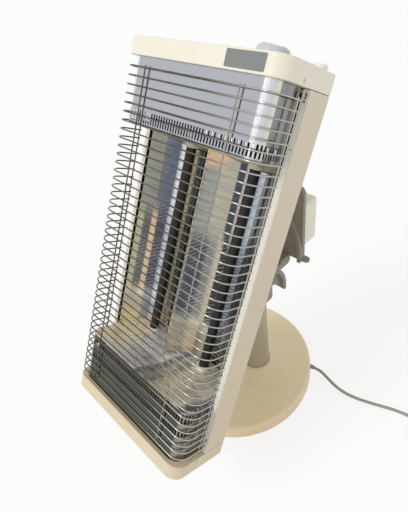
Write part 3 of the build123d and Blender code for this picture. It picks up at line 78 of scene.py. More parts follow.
class Signal:
    """An output of a finish's node, on which Python's operators do shader maths."""

    def __init__(self, finish, socket):
        self.finish = finish
        self.socket = socket

    def maths(self, operation, first, second):
        return self.finish.node("ShaderNodeMath", {"operation": operation}, {0: first, 1: second})

    def __add__(self, other):
        return self.maths("ADD", self, other)

    __radd__ = __add__

    def __sub__(self, other):
        return self.maths("SUBTRACT", self, other)

    def __rsub__(self, other):
        return self.maths("SUBTRACT", other, self)

    def __mul__(self, other):
        return self.maths("MULTIPLY", self, other)

    __rmul__ = __mul__

    def __abs__(self):
        return self.maths("ABSOLUTE", self, 0.0)


class Finish:
    """One material, built round a Principled shader from patterns that lie on the piece."""

    def __init__(self, name, rough=0.5, metal=0.0, **fixed):
        self.material = bpy.data.materials.new(name)
        self.material.use_nodes = True
        self.tree = self.material.node_tree
        self.shader = self.tree.nodes["Principled BSDF"]
        self.set(Roughness=rough, Metallic=metal)
        for socket, value in fixed.items():
            self.shader.inputs[socket.replace("_", " ")].default_value = value
        self.point = self.node("ShaderNodeTexCoord", output="Object")

    def node(self, kind, settings=(), inputs=(), output=0):
        """Any node: its settings first, then the values or links of its sockets."""
        made = self.tree.nodes.new(kind)
        for name, value in dict(settings).items():
            if name == "stops":
                for place, colour in value[1:-1]:
                    made.color_ramp.elements.new(place)
                for element, (place, colour) in zip(made.color_ramp.elements, value):
                    element.position = place
                    element.color = colour
            else:
                setattr(made, name, value)
        for name, value in dict(inputs).items():
            if isinstance(value, Signal):
                self.tree.links.new(value.socket, made.inputs[name])
            else:
                made.inputs[name].default_value = value
        return Signal(self, made.outputs[output])

    def set(self, **inputs):
        """Values or links of the shader's own sockets, with _ for a space."""
        for name, value in inputs.items():
            socket = self.shader.inputs[name.replace("_", " ")]
            if isinstance(value, Signal):
                self.tree.links.new(value.socket, socket)
            else:
                socket.default_value = value

    def noise(self, scale, detail=2.0, stretch=(1.0, 1.0, 1.0)):
        """Soft noise from 0 to 1, its scale in features a metre."""
        place = self.node("ShaderNodeMapping", {}, {"Vector": self.point, "Scale": stretch})
        return self.node("ShaderNodeTexNoise", {}, {"Vector": place, "Scale": scale, "Detail": detail})

    def dot(self, first, second):
        """How far two directions agree, from -1 to 1."""
        return self.node("ShaderNodeVectorMath", {"operation": "DOT_PRODUCT"}, {0: first, 1: second}, "Value")

    def along(self, direction, origin=Vector((0, 0, 0))):
        """Distance in metres from a point given in millimetres, along a direction."""
        return self.dot(self.point, direction) - origin.dot(direction) * MM

    def fade(self, value, low, high):
        """0 below low, 1 above high and smooth between."""
        limits = {"Value": value, "From Min": low, "From Max": high}
        return self.node("ShaderNodeMapRange", {"interpolation_type": "SMOOTHSTEP"}, limits)

    def mix(self, factor, first, second):
        """Colour between two colours."""
        return self.node("ShaderNodeMix", {"data_type": "RGBA"}, {0: factor, 6: first, 7: second}, 2)

    def ramp(self, value, *stops):
        """Colour from a row of (place, colour) stops."""
        return self.node("ShaderNodeValToRGB", {"stops": stops}, {"Fac": value})

    def edges(self, radius):
        """Normal rounded at the edges, and how near an edge the point is, from 0 to 1."""
        soft = self.node("ShaderNodeBevel", {"samples": 4}, {"Radius": radius})
        flat = self.node("ShaderNodeNewGeometry", output="Normal")
        return soft, self.fade(1 - self.dot(soft, flat), 0.02, 0.25)

    def bump(self, height, depth, normal=None):
        """Relief of a depth in metres."""
        inputs = {"Height": height, "Distance": depth}
        if normal:
            inputs["Normal"] = normal
        return self.node("ShaderNodeBump", {}, inputs)


def moulded(name, colour, aged, rubbed, rough, grain, edge=0.0012):
    """Moulded plastic: fine spark grain, faint ageing in patches, and edges rubbed a little lighter."""
    finish = Finish(name)
    patches = finish.noise(7.0, 3.0)
    grain_height = finish.noise(1500.0, 2.0)
    soft, near_edge = finish.edges(edge)
    base = finish.mix(finish.fade(patches, 0.35, 0.75) * 0.6, colour, aged)
    base = finish.mix(near_edge * 0.5, base, rubbed)
    finish.set(
        Base_Color=base,
        Roughness=patches * 0.12 + grain_height * 0.08 + (rough - 0.1),
        Normal=finish.bump(grain_height, grain, soft),
    )
    return finish


def metal(name, colour, dull, rough, streak, stretch):
    """Plated or rolled metal with fine drawn lines and duller patches."""
    finish = Finish(name, metal=1.0)
    lines = finish.noise(streak, 3.0, stretch)
    patches = finish.noise(18.0, 4.0)
    finish.set(
        Base_Color=finish.mix(finish.fade(patches, 0.4, 0.8), colour, dull),
        Roughness=lines * 0.15 + patches * 0.1 + (rough - 0.12),
        Normal=finish.bump(lines, 0.00003),
    )
    return finish


cream = moulded("cream_plastic", paint(241, 234, 218), paint(236, 228, 209), paint(248, 243, 230),
                rough=0.42, grain=0.00004)
# The bottom cap in a darker, yellower copy of the cream
foot_cream = moulded("darker_cream", paint(219, 204, 173), paint(213, 197, 164), paint(240, 226, 198),
                     rough=0.42, grain=0.00004)
neck_grey = moulded("grey_plastic", paint(145, 140, 126), paint(134, 129, 114), paint(176, 170, 155),
                    rough=0.5, grain=0.00006)
dial_grey = moulded("dial_plastic", paint(202, 204, 208), paint(192, 194, 199), paint(222, 223, 226),
                    rough=0.4, grain=0.00003, edge=0.0006)
black = moulded("black_plastic", paint(34, 34, 36), paint(40, 40, 42), paint(62, 62, 64),
                rough=0.5, grain=0.00006)
rubber = moulded("foot_rubber", paint(48, 47, 45), paint(58, 57, 54), paint(70, 69, 66),
                 rough=0.8, grain=0.00012)

# Base plastic: the dome a little greener and lighter than the rim, which is pinker
RIM_TOP = 25.5
DOME_FOOT = 32.5
base_cream = Finish("base_plastic")
dome_patches = base_cream.noise(6.0, 3.0)
dome_grain = base_cream.noise(1500.0, 2.0)
dome_soft, dome_edge = base_cream.edges(0.0015)
dome_level = base_cream.fade(base_cream.along(UPRIGHT), RIM_TOP * MM, DOME_FOOT * MM)
dome_colour = base_cream.mix(dome_patches * 0.5, paint(244, 229, 191), paint(236, 221, 182))
dome_colour = base_cream.mix(dome_level, paint(239, 213, 174), dome_colour)
base_cream.set(
    Base_Color=base_cream.mix(dome_edge * 0.5, dome_colour, paint(247, 234, 203)),
    Roughness=dome_patches * 0.12 + dome_grain * 0.08 + 0.3,
    Normal=base_cream.bump(dome_grain, 0.00003, dome_soft),
)

# Powder coat of the case: orange peel, darker and yellower towards the foot, front faces painted paler as
# painted light, and inner faces painted dark as painted shade
FOOT_GRADIENT_LENGTH = 600.0
FLANGE_END = 60.0
PANEL_START = 90.0
steel_coat = Finish("cream_steel")
peel = steel_coat.noise(420.0, 1.0)
coat_patches = steel_coat.noise(5.0, 3.0)
coat_soft, coat_edge = steel_coat.edges(0.0008)
up_head = steel_coat.fade(steel_coat.along(HEAD_UP, HEAD), 0.0, FOOT_GRADIENT_LENGTH * MM)
coat_normal = steel_coat.node("ShaderNodeTexCoord", output="Normal")
forward = steel_coat.fade(0 - steel_coat.dot(coat_normal, HEAD_BACK), 0.5, 0.9)
back_panel_shade_depth = steel_coat.fade(steel_coat.along(HEAD_BACK, HEAD), FLANGE_END * MM, PANEL_START * MM)
coat_side = steel_coat.node("ShaderNodeMath", {"operation": "SIGN"}, {0: steel_coat.along(RIGHT, HEAD)})
painted_inner_shade = steel_coat.fade(0 - coat_side * steel_coat.dot(coat_normal, RIGHT), 0.7, 0.9)
# Darker and yellower towards the foot of the head
coat_colour = steel_coat.mix(up_head, paint(214, 197, 166), paint(224, 213, 191))
coat_colour = steel_coat.mix(coat_patches * 0.35, coat_colour, paint(214, 201, 174))
# Painted light: faces turned to the front are painted paler
coat_colour = steel_coat.mix(forward, coat_colour, paint(243, 238, 226))
# Painted shade: the front-facing inner face of the back panel, deeper than the flanges, painted dark
coat_colour = steel_coat.mix(forward * back_panel_shade_depth, coat_colour, paint(58, 55, 50))
# Painted shade: faces turned inward into the case painted dark
coat_colour = steel_coat.mix(painted_inner_shade, coat_colour, paint(72, 67, 58))
steel_coat.set(
    Base_Color=steel_coat.mix(coat_edge * 0.6, coat_colour, paint(246, 240, 226)),
    Roughness=peel * 0.1 + coat_patches * 0.1 + 0.3,
    Normal=steel_coat.bump(peel, 0.00005, coat_soft),
)

# Painted pole: smooth satin with faint upright brush marks
pole_coat = Finish("pole_paint")
pole_marks = pole_coat.noise(300.0, 3.0, (1.0, 1.0, 0.02))
pole_patches = pole_coat.noise(8.0, 2.0)
pole_coat.set(
    Base_Color=pole_coat.mix(pole_patches, paint(177, 167, 144), paint(163, 153, 130)),
    Roughness=pole_marks * 0.15 + 0.28,
    Normal=pole_coat.bump(pole_marks, 0.00002),
)

zinc = metal("zinc_steel", paint(176, 178, 180), paint(150, 150, 148), 0.36, 220.0, (1.0, 6.0, 1.0))
cast_iron = metal("ballast_steel", paint(96, 94, 92), paint(74, 68, 62), 0.6, 90.0, (1.0, 1.0, 1.0))
brass = metal("brass", paint(206, 178, 112), paint(184, 152, 92), 0.28, 500.0, (0.1, 4.0, 4.0))


# Centre of the bend at the head's front corners, and the quarter turns that a row of stops spans
BEND_ACROSS = 110.0
BEND_DEPTH = 25.0
STOPS_SPAN = 1.8


def bend_angle(finish):
    """How far round the head's front corner a point is: 0 at the front, 1 at the side, and on towards 2."""
    inputs = {0: abs(finish.along(RIGHT, HEAD)), 1: BEND_ACROSS * MM}
    beyond = finish.node("ShaderNodeMath", {"operation": "SUBTRACT", "use_clamp": True}, inputs)
    ahead = BEND_DEPTH * MM - finish.along(HEAD_BACK, HEAD)
    angle = finish.node("ShaderNodeMath", {"operation": "ARCTAN2"}, {0: beyond, 1: ahead})
    return angle * (2 / pi)


def polished(name, flat_colour, corner_stops, rough):
    """Polished sheet round the head: bright and dark bands where the bend gathers the room's reflections."""
    finish = Finish(name, metal=1.0)
    rolled = finish.noise(60.0, 3.0, (0.05, 1.0, 1.0))
    smudge = finish.noise(22.0, 4.0)
    ripple = finish.noise(9.0, 1.0, (1.0, 1.0, 0.4))
    bands = finish.ramp(bend_angle(finish) * (1 / STOPS_SPAN) + (ripple - 0.5) * 0.01, *corner_stops)
    base = finish.mix(rolled * 0.2, bands, flat_colour)
    soft, near_edge = finish.edges(0.0004)
    finish.set(
        Base_Color=finish.mix(near_edge * 0.4, base, paint(228, 230, 232)),
        Roughness=finish.fade(smudge, 0.4, 0.8) * 0.12 + rough,
        Normal=finish.bump(ripple, 0.0002, soft),
    )
    return finish


upper_mirror = polished(
    "upper_mirror", paint(178, 180, 188),
    [
        (0.0, paint(178, 180, 188)),
        (0.04, paint(186, 188, 195)),
        (0.07, paint(236, 237, 238)),
        (0.17, paint(240, 240, 238)),
        (0.2, paint(212, 215, 223)),
        (0.33, paint(200, 201, 204)),
        (0.39, paint(216, 212, 200)),
        (0.46, paint(222, 219, 208)),
        (0.49, paint(136, 138, 137)),
        (0.7, paint(126, 130, 130)),
        (0.84, paint(142, 144, 143)),
        (0.87, paint(158, 158, 154)),
        (0.89, paint(110, 111, 110)),
        (0.92, paint(188, 188, 184)),
        (1.0, paint(168, 168, 164)),
    ],
    0.14,
)
# The lower shield's dark colours are a painted reflection of the dark floor and room below
lower_mirror = polished(
    "lower_mirror", paint(84, 85, 80),
    [
        (0.0, paint(82, 83, 78)),
        (0.06, paint(92, 92, 87)),
        (0.12, paint(148, 145, 138)),
        (0.24, paint(160, 156, 148)),
        (0.34, paint(122, 119, 112)),
        (0.46, paint(140, 136, 128)),
        (0.6, paint(112, 110, 104)),
        (1.0, paint(130, 127, 120)),
    ],
    0.16,
)

# Twin-trough mirror: each trough gathers the room into upright bands, which change twice on the way down. A
# share runs from 0 to 1 across one trough, and the named places are millimetres across or up the head
TROUGH_WIDTH = 138.0
HIGH_BANDS = (325.0, 375.0)
FOOT_BANDS = (180.0, 215.0)
SUNSET_LEVEL = (450.0, 462.0)
SUNSET_ACROSS = -12.0
SUNSET_REACH = (28.0, 34.0)
trough = Finish("trough_mirror", metal=1.0)
wander = trough.noise(5.0, 2.0, (1.0, 1.0, 0.3))
across = trough.along(RIGHT, HEAD) + (wander - 0.5) * 0.004
trough_up = trough.along(HEAD_UP, HEAD) + (trough.noise(7.0, 1.0) - 0.5) * 0.05
per_trough = 1 / (TROUGH_WIDTH * MM)
left_share = (across + TROUGH_WIDTH * MM) * per_trough
right_share = across * per_trough
left_high = trough.ramp(
    left_share,
    (0.0, paint(206, 186, 104)),
    (0.02, paint(204, 184, 106)),
    (0.032, paint(152, 152, 143)),
    (0.165, paint(146, 146, 137)),
    (0.178, paint(112, 117, 126)),
    (0.24, paint(96, 108, 132)),
    (0.298, paint(98, 104, 118)),
    (0.31, paint(176, 181, 200)),
    (0.33, paint(236, 236, 238)),
    (0.372, paint(206, 207, 212)),
    (0.39, paint(96, 97, 99)),
    (0.48, paint(120, 118, 98)),
    (0.5, paint(158, 150, 118)),
    (0.57, paint(146, 141, 114)),
    (0.59, paint(92, 98, 101)),
    (0.66, paint(102, 107, 108)),
    (0.7, paint(176, 172, 156)),
    (1.0, paint(188, 186, 172)),
)
left_low = trough.ramp(
    left_share,
    (0.0, paint(190, 174, 128)),
    (0.03, paint(186, 176, 150)),
    (0.09, paint(196, 187, 166)),
    (0.105, paint(106, 108, 103)),
    (0.155, paint(98, 100, 96)),
    (0.168, paint(228, 200, 164)),
    (0.2, paint(222, 196, 160)),
    (0.212, paint(76, 80, 92)),
    (0.29, paint(68, 72, 86)),
    (0.3, paint(158, 164, 188)),
    (0.335, paint(214, 215, 224)),
    (0.36, paint(78, 80, 86)),
    (0.49, paint(70, 68, 60)),
    (0.52, paint(138, 132, 108)),
    (0.56, paint(82, 79, 66)),
    (0.66, paint(66, 65, 59)),
    (1.0, paint(126, 125, 114)),
)
left_foot = trough.ramp(
    left_share,
    (0.0, paint(230, 214, 182)),
    (0.1, paint(240, 226, 200)),
    (0.2, paint(250, 236, 210)),
    (0.23, paint(178, 183, 196)),
    (0.3, paint(158, 164, 180)),
    (0.315, paint(236, 236, 240)),
    (0.37, paint(214, 214, 219)),
    (0.39, paint(94, 93, 89)),
    (0.5, paint(136, 132, 114)),
    (0.6, paint(100, 97, 85)),
    (0.68, paint(80, 77, 69)),
    (1.0, paint(164, 160, 144)),
)
right_high = trough.ramp(
    right_share,
    (0.0, paint(122, 126, 125)),
    (0.02, paint(156, 161, 153)),
    (0.11, paint(164, 168, 158)),
    (0.125, paint(190, 186, 166)),
    (0.24, paint(182, 178, 158)),
    (0.255, paint(60, 66, 84)),
    (0.305, paint(66, 72, 90)),
    (0.318, paint(204, 188, 182)),
    (0.365, paint(222, 208, 202)),
    (0.38, paint(92, 92, 94)),
    (0.455, paint(92, 99, 108)),
    (0.48, paint(176, 188, 202)),
    (0.54, paint(206, 213, 222)),
    (0.588, paint(158, 170, 184)),
    (0.6, paint(52, 64, 94)),
    (0.618, paint(62, 74, 100)),
    (0.632, paint(160, 168, 168)),
    (0.75, paint(170, 172, 162)),
    (0.78, paint(104, 108, 112)),
    (0.8, paint(160, 163, 160)),
    (0.93, paint(138, 141, 140)),
    (1.0, paint(152, 152, 150)),
)
right_low = trough.ramp(
    right_share,
    (0.0, paint(162, 160, 142)),
    (0.016, paint(164, 162, 144)),
    (0.024, paint(68, 73, 84)),
    (0.13, paint(72, 77, 88)),
    (0.155, paint(128, 130, 126)),
    (0.2, paint(138, 140, 134)),
    (0.235, paint(196, 188, 166)),
    (0.262, paint(206, 192, 162)),
    (0.275, paint(54, 54, 60)),
    (0.365, paint(66, 64, 68)),
    (0.46, paint(80, 86, 94)),
    (0.49, paint(106, 116, 128)),
    (0.56, paint(112, 122, 134)),
    (0.59, paint(84, 92, 104)),
    (0.605, paint(46, 54, 78)),
    (0.64, paint(104, 112, 120)),
    (0.8, paint(112, 116, 118)),
    (1.0, paint(116, 118, 118)),
)
right_foot = trough.ramp(
    right_share,
    (0.0, paint(196, 190, 168)),
    (0.03, paint(226, 215, 188)),
    (0.1, paint(186, 186, 174)),
    (0.16, paint(250, 236, 208)),
    (0.22, paint(246, 228, 196)),
    (0.25, paint(162, 162, 154)),
    (0.3, paint(220, 215, 206)),
    (0.37, paint(230, 224, 216)),
    (0.4, paint(68, 67, 64)),
    (0.5, paint(86, 89, 92)),
    (0.6, paint(64, 67, 70)),
    (0.75, paint(114, 115, 112)),
    (1.0, paint(98, 100, 98)),
)
from_high = trough.fade(trough_up, HIGH_BANDS[0] * MM, HIGH_BANDS[1] * MM)
from_foot = trough.fade(trough_up, FOOT_BANDS[0] * MM, FOOT_BANDS[1] * MM)
left_bands = trough.mix(from_foot, left_foot, trough.mix(from_high, left_low, left_high))
right_bands = trough.mix(from_foot, right_foot, trough.mix(from_high, right_low, right_high))
right_half = trough.fade(across, -MM, MM)
banding = trough.mix(right_half, left_bands, right_bands)

# A painted reflection: a warm patch high up, just left of the middle
sunset_beside = trough.fade(abs(across - SUNSET_ACROSS * MM), SUNSET_REACH[0] * MM, SUNSET_REACH[1] * MM)
sunset = trough.fade(trough_up, SUNSET_LEVEL[0] * MM, SUNSET_LEVEL[1] * MM) * (1 - sunset_beside)
banding = trough.mix(sunset * 0.8, banding, paint(226, 190, 148))

# The guard's wires, mirrored as fine pale arcs that climb towards each trough's hollow and fade higher up
HOLLOW_ACROSS = -55.0
ARC_CURVATURE = 6.8
ARC_PITCH = 6.8
hollow = across - HOLLOW_ACROSS * MM - right_half * (TROUGH_WIDTH * MM)
arc_level = trough.along(HEAD_UP, HEAD) + hollow * hollow * ARC_CURVATURE
arc_wave = trough.node("ShaderNodeMath", {"operation": "SINE"}, {0: arc_level * (2 * pi / (ARC_PITCH * MM))})
arc_patches = trough.fade(trough.noise(26.0, 2.0), 0.36, 0.56)
arcs = trough.fade(arc_wave, 0.5, 0.95) * arc_patches * (1 - from_high * 0.75)
banding = trough.mix(arcs * 0.5, banding, paint(190, 190, 184))

hairlines = trough.noise(240.0, 2.0, (1.0, 1.0, 0.015))
trough.set(
    Base_Color=trough.mix(hairlines * 0.12, banding, paint(168, 168, 162)),
    Roughness=hairlines * 0.06 + trough.fade(wander, 0.3, 0.8) * 0.05 + 0.08,
    Normal=trough.bump(wander, 0.0006),
)

# Bright sheet of the deflectors: fine crinkles with painted shade in the creases and painted highlights
# between them, bands across the lower one, which mirrors the troughs as painted reflections, and a back
# painted dark, duller and in painted shade
FOOT_SHEET_TOP = 200.0
HIGH_SHEET_FOOT = 400.0
crinkled = Finish("crinkled_sheet", metal=0.4)
dimple = crinkled.node(
    "ShaderNodeTexVoronoi", {"feature": "SMOOTH_F1"}, {"Vector": crinkled.point, "Scale": 340.0})
creases = crinkled.noise(230.0, 4.0, (0.6, 1.0, 1.0))
sheet_up = crinkled.fade(crinkled.along(HEAD_UP, HEAD), FOOT_SHEET_TOP * MM, HIGH_SHEET_FOOT * MM)
sheet_slant = crinkled.along(HEAD_BACK, HEAD) * -0.25 + (crinkled.noise(30.0, 2.0) - 0.5) * 0.012
sheet_across = crinkled.along(RIGHT, HEAD) + sheet_slant + TROUGH_WIDTH * MM
sheet_share = sheet_across * (per_trough / 2)
foot_bands = crinkled.ramp(
    sheet_share,
    (0.0, paint(222, 209, 172)),
    (0.14, paint(234, 221, 192)),
    (0.26, paint(222, 220, 218)),
    (0.42, paint(208, 210, 220)),
    (0.475, paint(242, 240, 236)),
    (0.5, paint(112, 118, 134)),
    (0.525, paint(108, 114, 130)),
    (0.55, paint(192, 190, 178)),
    (0.6, paint(140, 139, 132)),
    (0.64, paint(220, 211, 188)),
    (0.78, paint(210, 201, 180)),
    (0.86, paint(242, 238, 228)),
    (0.895, paint(110, 114, 124)),
    (0.92, paint(114, 117, 124)),
    (0.945, paint(190, 187, 177)),
    (1.0, paint(172, 170, 162)),
)
sheet_colour = crinkled.mix(sheet_up, foot_bands, paint(206, 194, 162))
# Painted shade in the creases
sheet_colour = crinkled.mix(crinkled.fade(creases, 0.54, 0.64) * 0.5, sheet_colour, paint(118, 111, 96))
# Painted highlights between the creases
crinkle_highlight = 1 - crinkled.fade(creases, 0.36, 0.46)
foil_colour = crinkled.mix(crinkle_highlight * 0.6, sheet_colour, paint(246, 240, 226))
sheet_normal = crinkled.node("ShaderNodeTexCoord", output="Normal")
# Painted shade: the sheet's hidden back, duller and in shade, painted dark
dull_shaded_back = crinkled.fade(crinkled.dot(sheet_normal, HEAD_UP) * (sheet_up * 2 - 1), 0.1, 0.4)
crinkled.set(
    Base_Color=crinkled.mix(dull_shaded_back, foil_colour, paint(54, 52, 48)),
    Roughness=dimple * 0.2 + 0.28,
    Normal=crinkled.bump(dimple * 0.5 + creases, 0.0004),
)

# Far infrared coating of the tubes: matt black with a fine speckle
coating = Finish("tube_coating")
speckle = coating.noise(900.0, 3.0)
coating.set(
    Base_Color=coating.mix(coating.fade(speckle, 0.55, 0.75), paint(22, 22, 23), paint(46, 45, 44)),
    Roughness=speckle * 0.2 + 0.45,
    Normal=coating.bump(speckle, 0.0001),
)

ceramic = Finish("ceramic", Coat_Weight=0.2)
ceramic_grain = ceramic.noise(500.0, 3.0)
ceramic.set(
    Base_Color=ceramic.mix(ceramic.noise(60.0, 2.0), paint(244, 240, 228), paint(226, 218, 196)),
    Roughness=ceramic_grain * 0.2 + 0.3,
    Normal=ceramic.bump(ceramic_grain, 0.00004),
)

# Plated guard wire: its dark brown is painted shade and dark reflections, darker in patches, and it is
# painted lighter towards the right as painted light
SHADED_WIRE_END = 20.0
LIT_WIRE_START = 120.0
wire = Finish("guard_wire", metal=1.0)
wire_patches = wire.noise(30.0, 3.0)
wire_grain = wire.noise(1200.0, 2.0)
painted_wire_light = wire.fade(wire.along(RIGHT, HEAD), SHADED_WIRE_END * MM, LIT_WIRE_START * MM)
# Painted shade and dark reflections: the wire's dark brown, darker in patches
wire_colour = wire.mix(wire.fade(wire_patches, 0.35, 0.7), paint(116, 109, 95), paint(92, 85, 71))
# Painted light: the wire paler towards the right, where it is lit
wire_colour = wire.mix(painted_wire_light, wire_colour, paint(178, 174, 166))
wire.set(
    Base_Color=wire_colour,
    Roughness=wire_grain * 0.12 + 0.2,
    Normal=wire.bump(wire_grain, 0.00002),
)

# Grey plate, left plain: satin with a faint brushed line
plate = Finish("plain_plate")
plate_lines = plate.noise(500.0, 2.0, (0.05, 1.0, 1.0))
plate.set(
    Base_Color=plate.mix(plate.noise(25.0, 2.0), paint(132, 134, 134), paint(122, 124, 125)),
    Roughness=plate_lines * 0.15 + 0.4,
    Normal=plate.bump(plate_lines, 0.00002),
)

board = Finish("circuit_board")
tracks = board.noise(160.0, 1.0, (1.0, 3.0, 3.0))
board.set(
    Base_Color=board.mix(board.fade(tracks, 0.48, 0.52), paint(38, 92, 62), paint(60, 120, 84)),
    Roughness=tracks * 0.1 + 0.35,
    Normal=board.bump(tracks, 0.0001),
)

# Cord sheath: matt PVC, faintly mottled
sheath = Finish("cord_sheath")
sheath_mottle = sheath.noise(70.0, 3.0)
sheath_grain = sheath.noise(1400.0, 2.0)
sheath.set(
    Base_Color=sheath.mix(sheath_mottle, paint(158, 159, 149), paint(144, 146, 136)),
    Roughness=sheath_grain * 0.15 + 0.42,
    Normal=sheath.bump(sheath_grain, 0.00005),
)

FINISHES = {
    base_cream: ["base_cover", "base_plate"],
    cream: ["rear_cover", "top_cap"],
    foot_cream: ["bottom_cap"],
    steel_coat: ["head_case", "back_panel"],
    neck_grey: ["neck_core", "neck_housing", "lower_cord_hook"],
    pole_coat: ["pole"],
    zinc: [
        "motor_bracket", "swing_motor", "pole_retainer", "pole_flange", "tilt_pin", "tilt_bracket",
        "turntable_spindle", "spindle_nut", "turntable_ring", "pivot_plate", "turntable_screws",
        "tube_terminals", "tube_clips", "thermal_cutout",
    ],
    cast_iron: ["base_weight"],
    rubber: ["rubber_feet"],
    black: [
        "pole_bearing", "tip_over_switch", "terminal_block", "slip_clutch", "cord_tie", "head_wiring",
        "dial_switch", "power_switch",
    ],
    sheath: ["base_lead", "pole_lead"],
    brass: ["plug_blades"],
    upper_mirror: ["upper_shield"],
    lower_mirror: ["lower_shield"],
    trough: ["reflector"],
    crinkled: ["lower_deflector", "upper_deflector"],
    coating: ["left_heater_tube", "right_heater_tube"],
    wire: ["wire_guard"],
    plate: ["label_plate"],
    board: ["control_board", "swing_board"],
}
for finish, names in FINISHES.items():
    for name in names:
        for slot in nodes[name].material_slots:
            slot.material = finish.material


# Making new pieces

SHARP_ANGLE = radians(35.0)
SCREW_HEAD_RADIUS = 3.6
SCREW_HEAD_HEIGHT = 1.8
SCREW_RADIUS = 1.8


def finished(name, shape, matrix, finish, body, stands_for=()):
    """Puts a bmesh in its place as a piece that rides on a body."""
    bmesh.ops.remove_doubles(shape, verts=shape.verts, dist=0.001)
    bmesh.ops.transform(shape, matrix=matrix, verts=shape.verts)
    bmesh.ops.recalc_face_normals(shape, faces=shape.faces)
    mesh = bpy.data.meshes.new(name)
    shape.to_mesh(mesh)
    shape.free()
    mesh.materials.append(finish.material)
    mesh.shade_smooth()
    mesh.set_sharp_from_angle(angle=SHARP_ANGLE)
    piece = bpy.data.objects.new(name, mesh)
    bpy.context.scene.collection.objects.link(piece)
    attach(piece, body)
    if stands_for:
        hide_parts(*stands_for)
    return piece


def turned(shape, profile, centre=Vector((0, 0, 0)), steps=48):
    """Spins a profile of (radius, height) points about the upright axis through a centre."""
    points = [shape.verts.new(centre + Vector((radius, 0, height))) for radius, height in profile]
    rail = [shape.edges.new(pair) for pair in zip(points, points[1:])]
    bmesh.ops.spin(
        shape, geom=points + rail, cent=centre, axis=(0, 0, 1), angle=2 * pi, steps=steps, use_merge=True)


def bevelled(shape, edges, width, segments):
    """Rounds edges."""
    bmesh.ops.bevel(
        shape, geom=edges, offset=width, affect="EDGES", segments=segments, profile=0.5, material=-1)


def rounded_block(shape, size, matrix, bevel, segments=2):
    """A block with rounded edges."""
    block = bmesh.ops.create_cube(shape, size=1.0, matrix=matrix @ Matrix.Diagonal((*size, 1.0)))
    edges = list({edge for vert in block["verts"] for edge in vert.link_edges})
    bevelled(shape, edges, bevel, segments)


def cross_screw(shape, length, matrix):
    """A screw that looks up its own axis: round head with a cross recess, and a plain shank below it."""
    grid = bmesh.ops.create_grid(shape, x_segments=5, y_segments=5, size=SCREW_HEAD_RADIUS)
    verts = grid["verts"]
    top = [face for face in shape.faces if face.verts[0] in verts]
    rim = [vert for vert in verts if vert.is_boundary]

    # The square grid's outline drawn in to a circle, lower than the middle
    for vert in verts:
        reach = max(abs(vert.co.x), abs(vert.co.y))
        if vert in rim:
            vert.co = vert.co.normalized() * SCREW_HEAD_RADIUS
        vert.co.z = SCREW_HEAD_HEIGHT if reach < SCREW_HEAD_RADIUS * 0.9 else SCREW_HEAD_HEIGHT * 0.72

    # The recess: the middle face and its four neighbours, sunk
    half_arm = SCREW_HEAD_RADIUS * 0.15
    cross = []
    for face in top:
        middle = face.calc_center_median()
        near, far = sorted((abs(middle.x), abs(middle.y)))
        if near < half_arm and far < SCREW_HEAD_RADIUS * 0.6:
            cross.append(face)
    sunk = bmesh.ops.extrude_face_region(shape, geom=cross)
    bottom = [item for item in sunk["geom"] if isinstance(item, bmesh.types.BMVert)]
    bmesh.ops.translate(shape, vec=(0, 0, -SCREW_HEAD_HEIGHT * 0.6), verts=bottom)
    bmesh.ops.delete(shape, geom=cross, context="FACES")

    # The head's side, down to the sheet, and the shank
    outline = {edge for vert in rim for edge in vert.link_edges if edge.is_boundary}
    skirt = bmesh.ops.extrude_edge_only(shape, edges=sorted(outline, key=lambda edge: edge.index))
    lower = [item for item in skirt["geom"] if isinstance(item, bmesh.types.BMVert)]
    for vert in lower:
        vert.co.z = 0.0
    stem = bmesh.ops.create_cone(
        shape, cap_ends=True, segments=16, radius1=SCREW_RADIUS, radius2=SCREW_RADIUS, depth=length,
        matrix=Matrix.Translation((0, 0, -length / 2)))
    moved = {*verts, *bottom, *lower, *stem["verts"]} & set(shape.verts)
    bmesh.ops.transform(shape, matrix=matrix, verts=list(moved))


# Camera, where the photographer stood
camera_data = bpy.data.cameras.new("camera")
camera_data.lens = 29.59
camera_data.sensor_width = 36.0
camera_data.clip_start = 0.05
camera = bpy.data.objects.new("camera", camera_data)
bpy.context.scene.collection.objects.link(camera)
camera_place = Vector((0.44615, -0.38759, 0.84262))
camera_right = Vector((0.69939, 0.70263, -0.13102))
camera_down = Vector((0.38841, -0.52751, -0.75556))
camera_ahead = Vector((-0.59999, 0.47754, -0.64184))
camera_turn = Matrix((camera_right, -camera_down, -camera_ahead)).transposed()
camera.matrix_world = Matrix.Translation(camera_place) @ camera_turn.to_4x4()
bpy.context.scene.camera = camera

# Mains cord: out of the gland, over the floor to a tied coil, and on to the plug
CORD_RADIUS = 3.1
CORD_HEADING = radians(12.0)
GLAND_TIP = (149.83, 105.34, 14.0)
COIL_START = (402.0, 137.0, 4.2)
COIL_RADIUS = 47.0
COIL_PITCH = 6.8
COIL_HALF_TURNS = 6
COIL_STEPS = 6
FLOOR_RUN = [
    GLAND_TIP,
    (161.57, 107.83, 14.0),
    (181.0, 104.9, 10.4),
    (200.0, 101.0, 6.6),
    (221.0, 99.2, 4.2),
    (243.0, 101.2, 3.2),
    (269.0, 108.5, 3.1),
    (298.0, 119.5, 3.3),
    (326.0, 130.5, 3.2),
    (352.0, 136.2, 3.6),
    (375.0, 137.0, 4.2),
    (395.8, 137.0, 4.2),
]
PLUG_RUN = [
    (395.8, 231.0, 11.0),
    (377.0, 231.0, 11.0),
    (359.0, 237.0, 9.6),
    (348.0, 253.0, 7.0),
    (350.0, 272.0, 4.8),
    (364.0, 285.0, 3.6),
    (385.0, 289.0, 3.2),
    (408.0, 288.0, 3.5),
    (430.0, 290.5, 5.6),
    (450.0, 292.0, 8.0),
    (468.0, 292.0, 8.0),
]


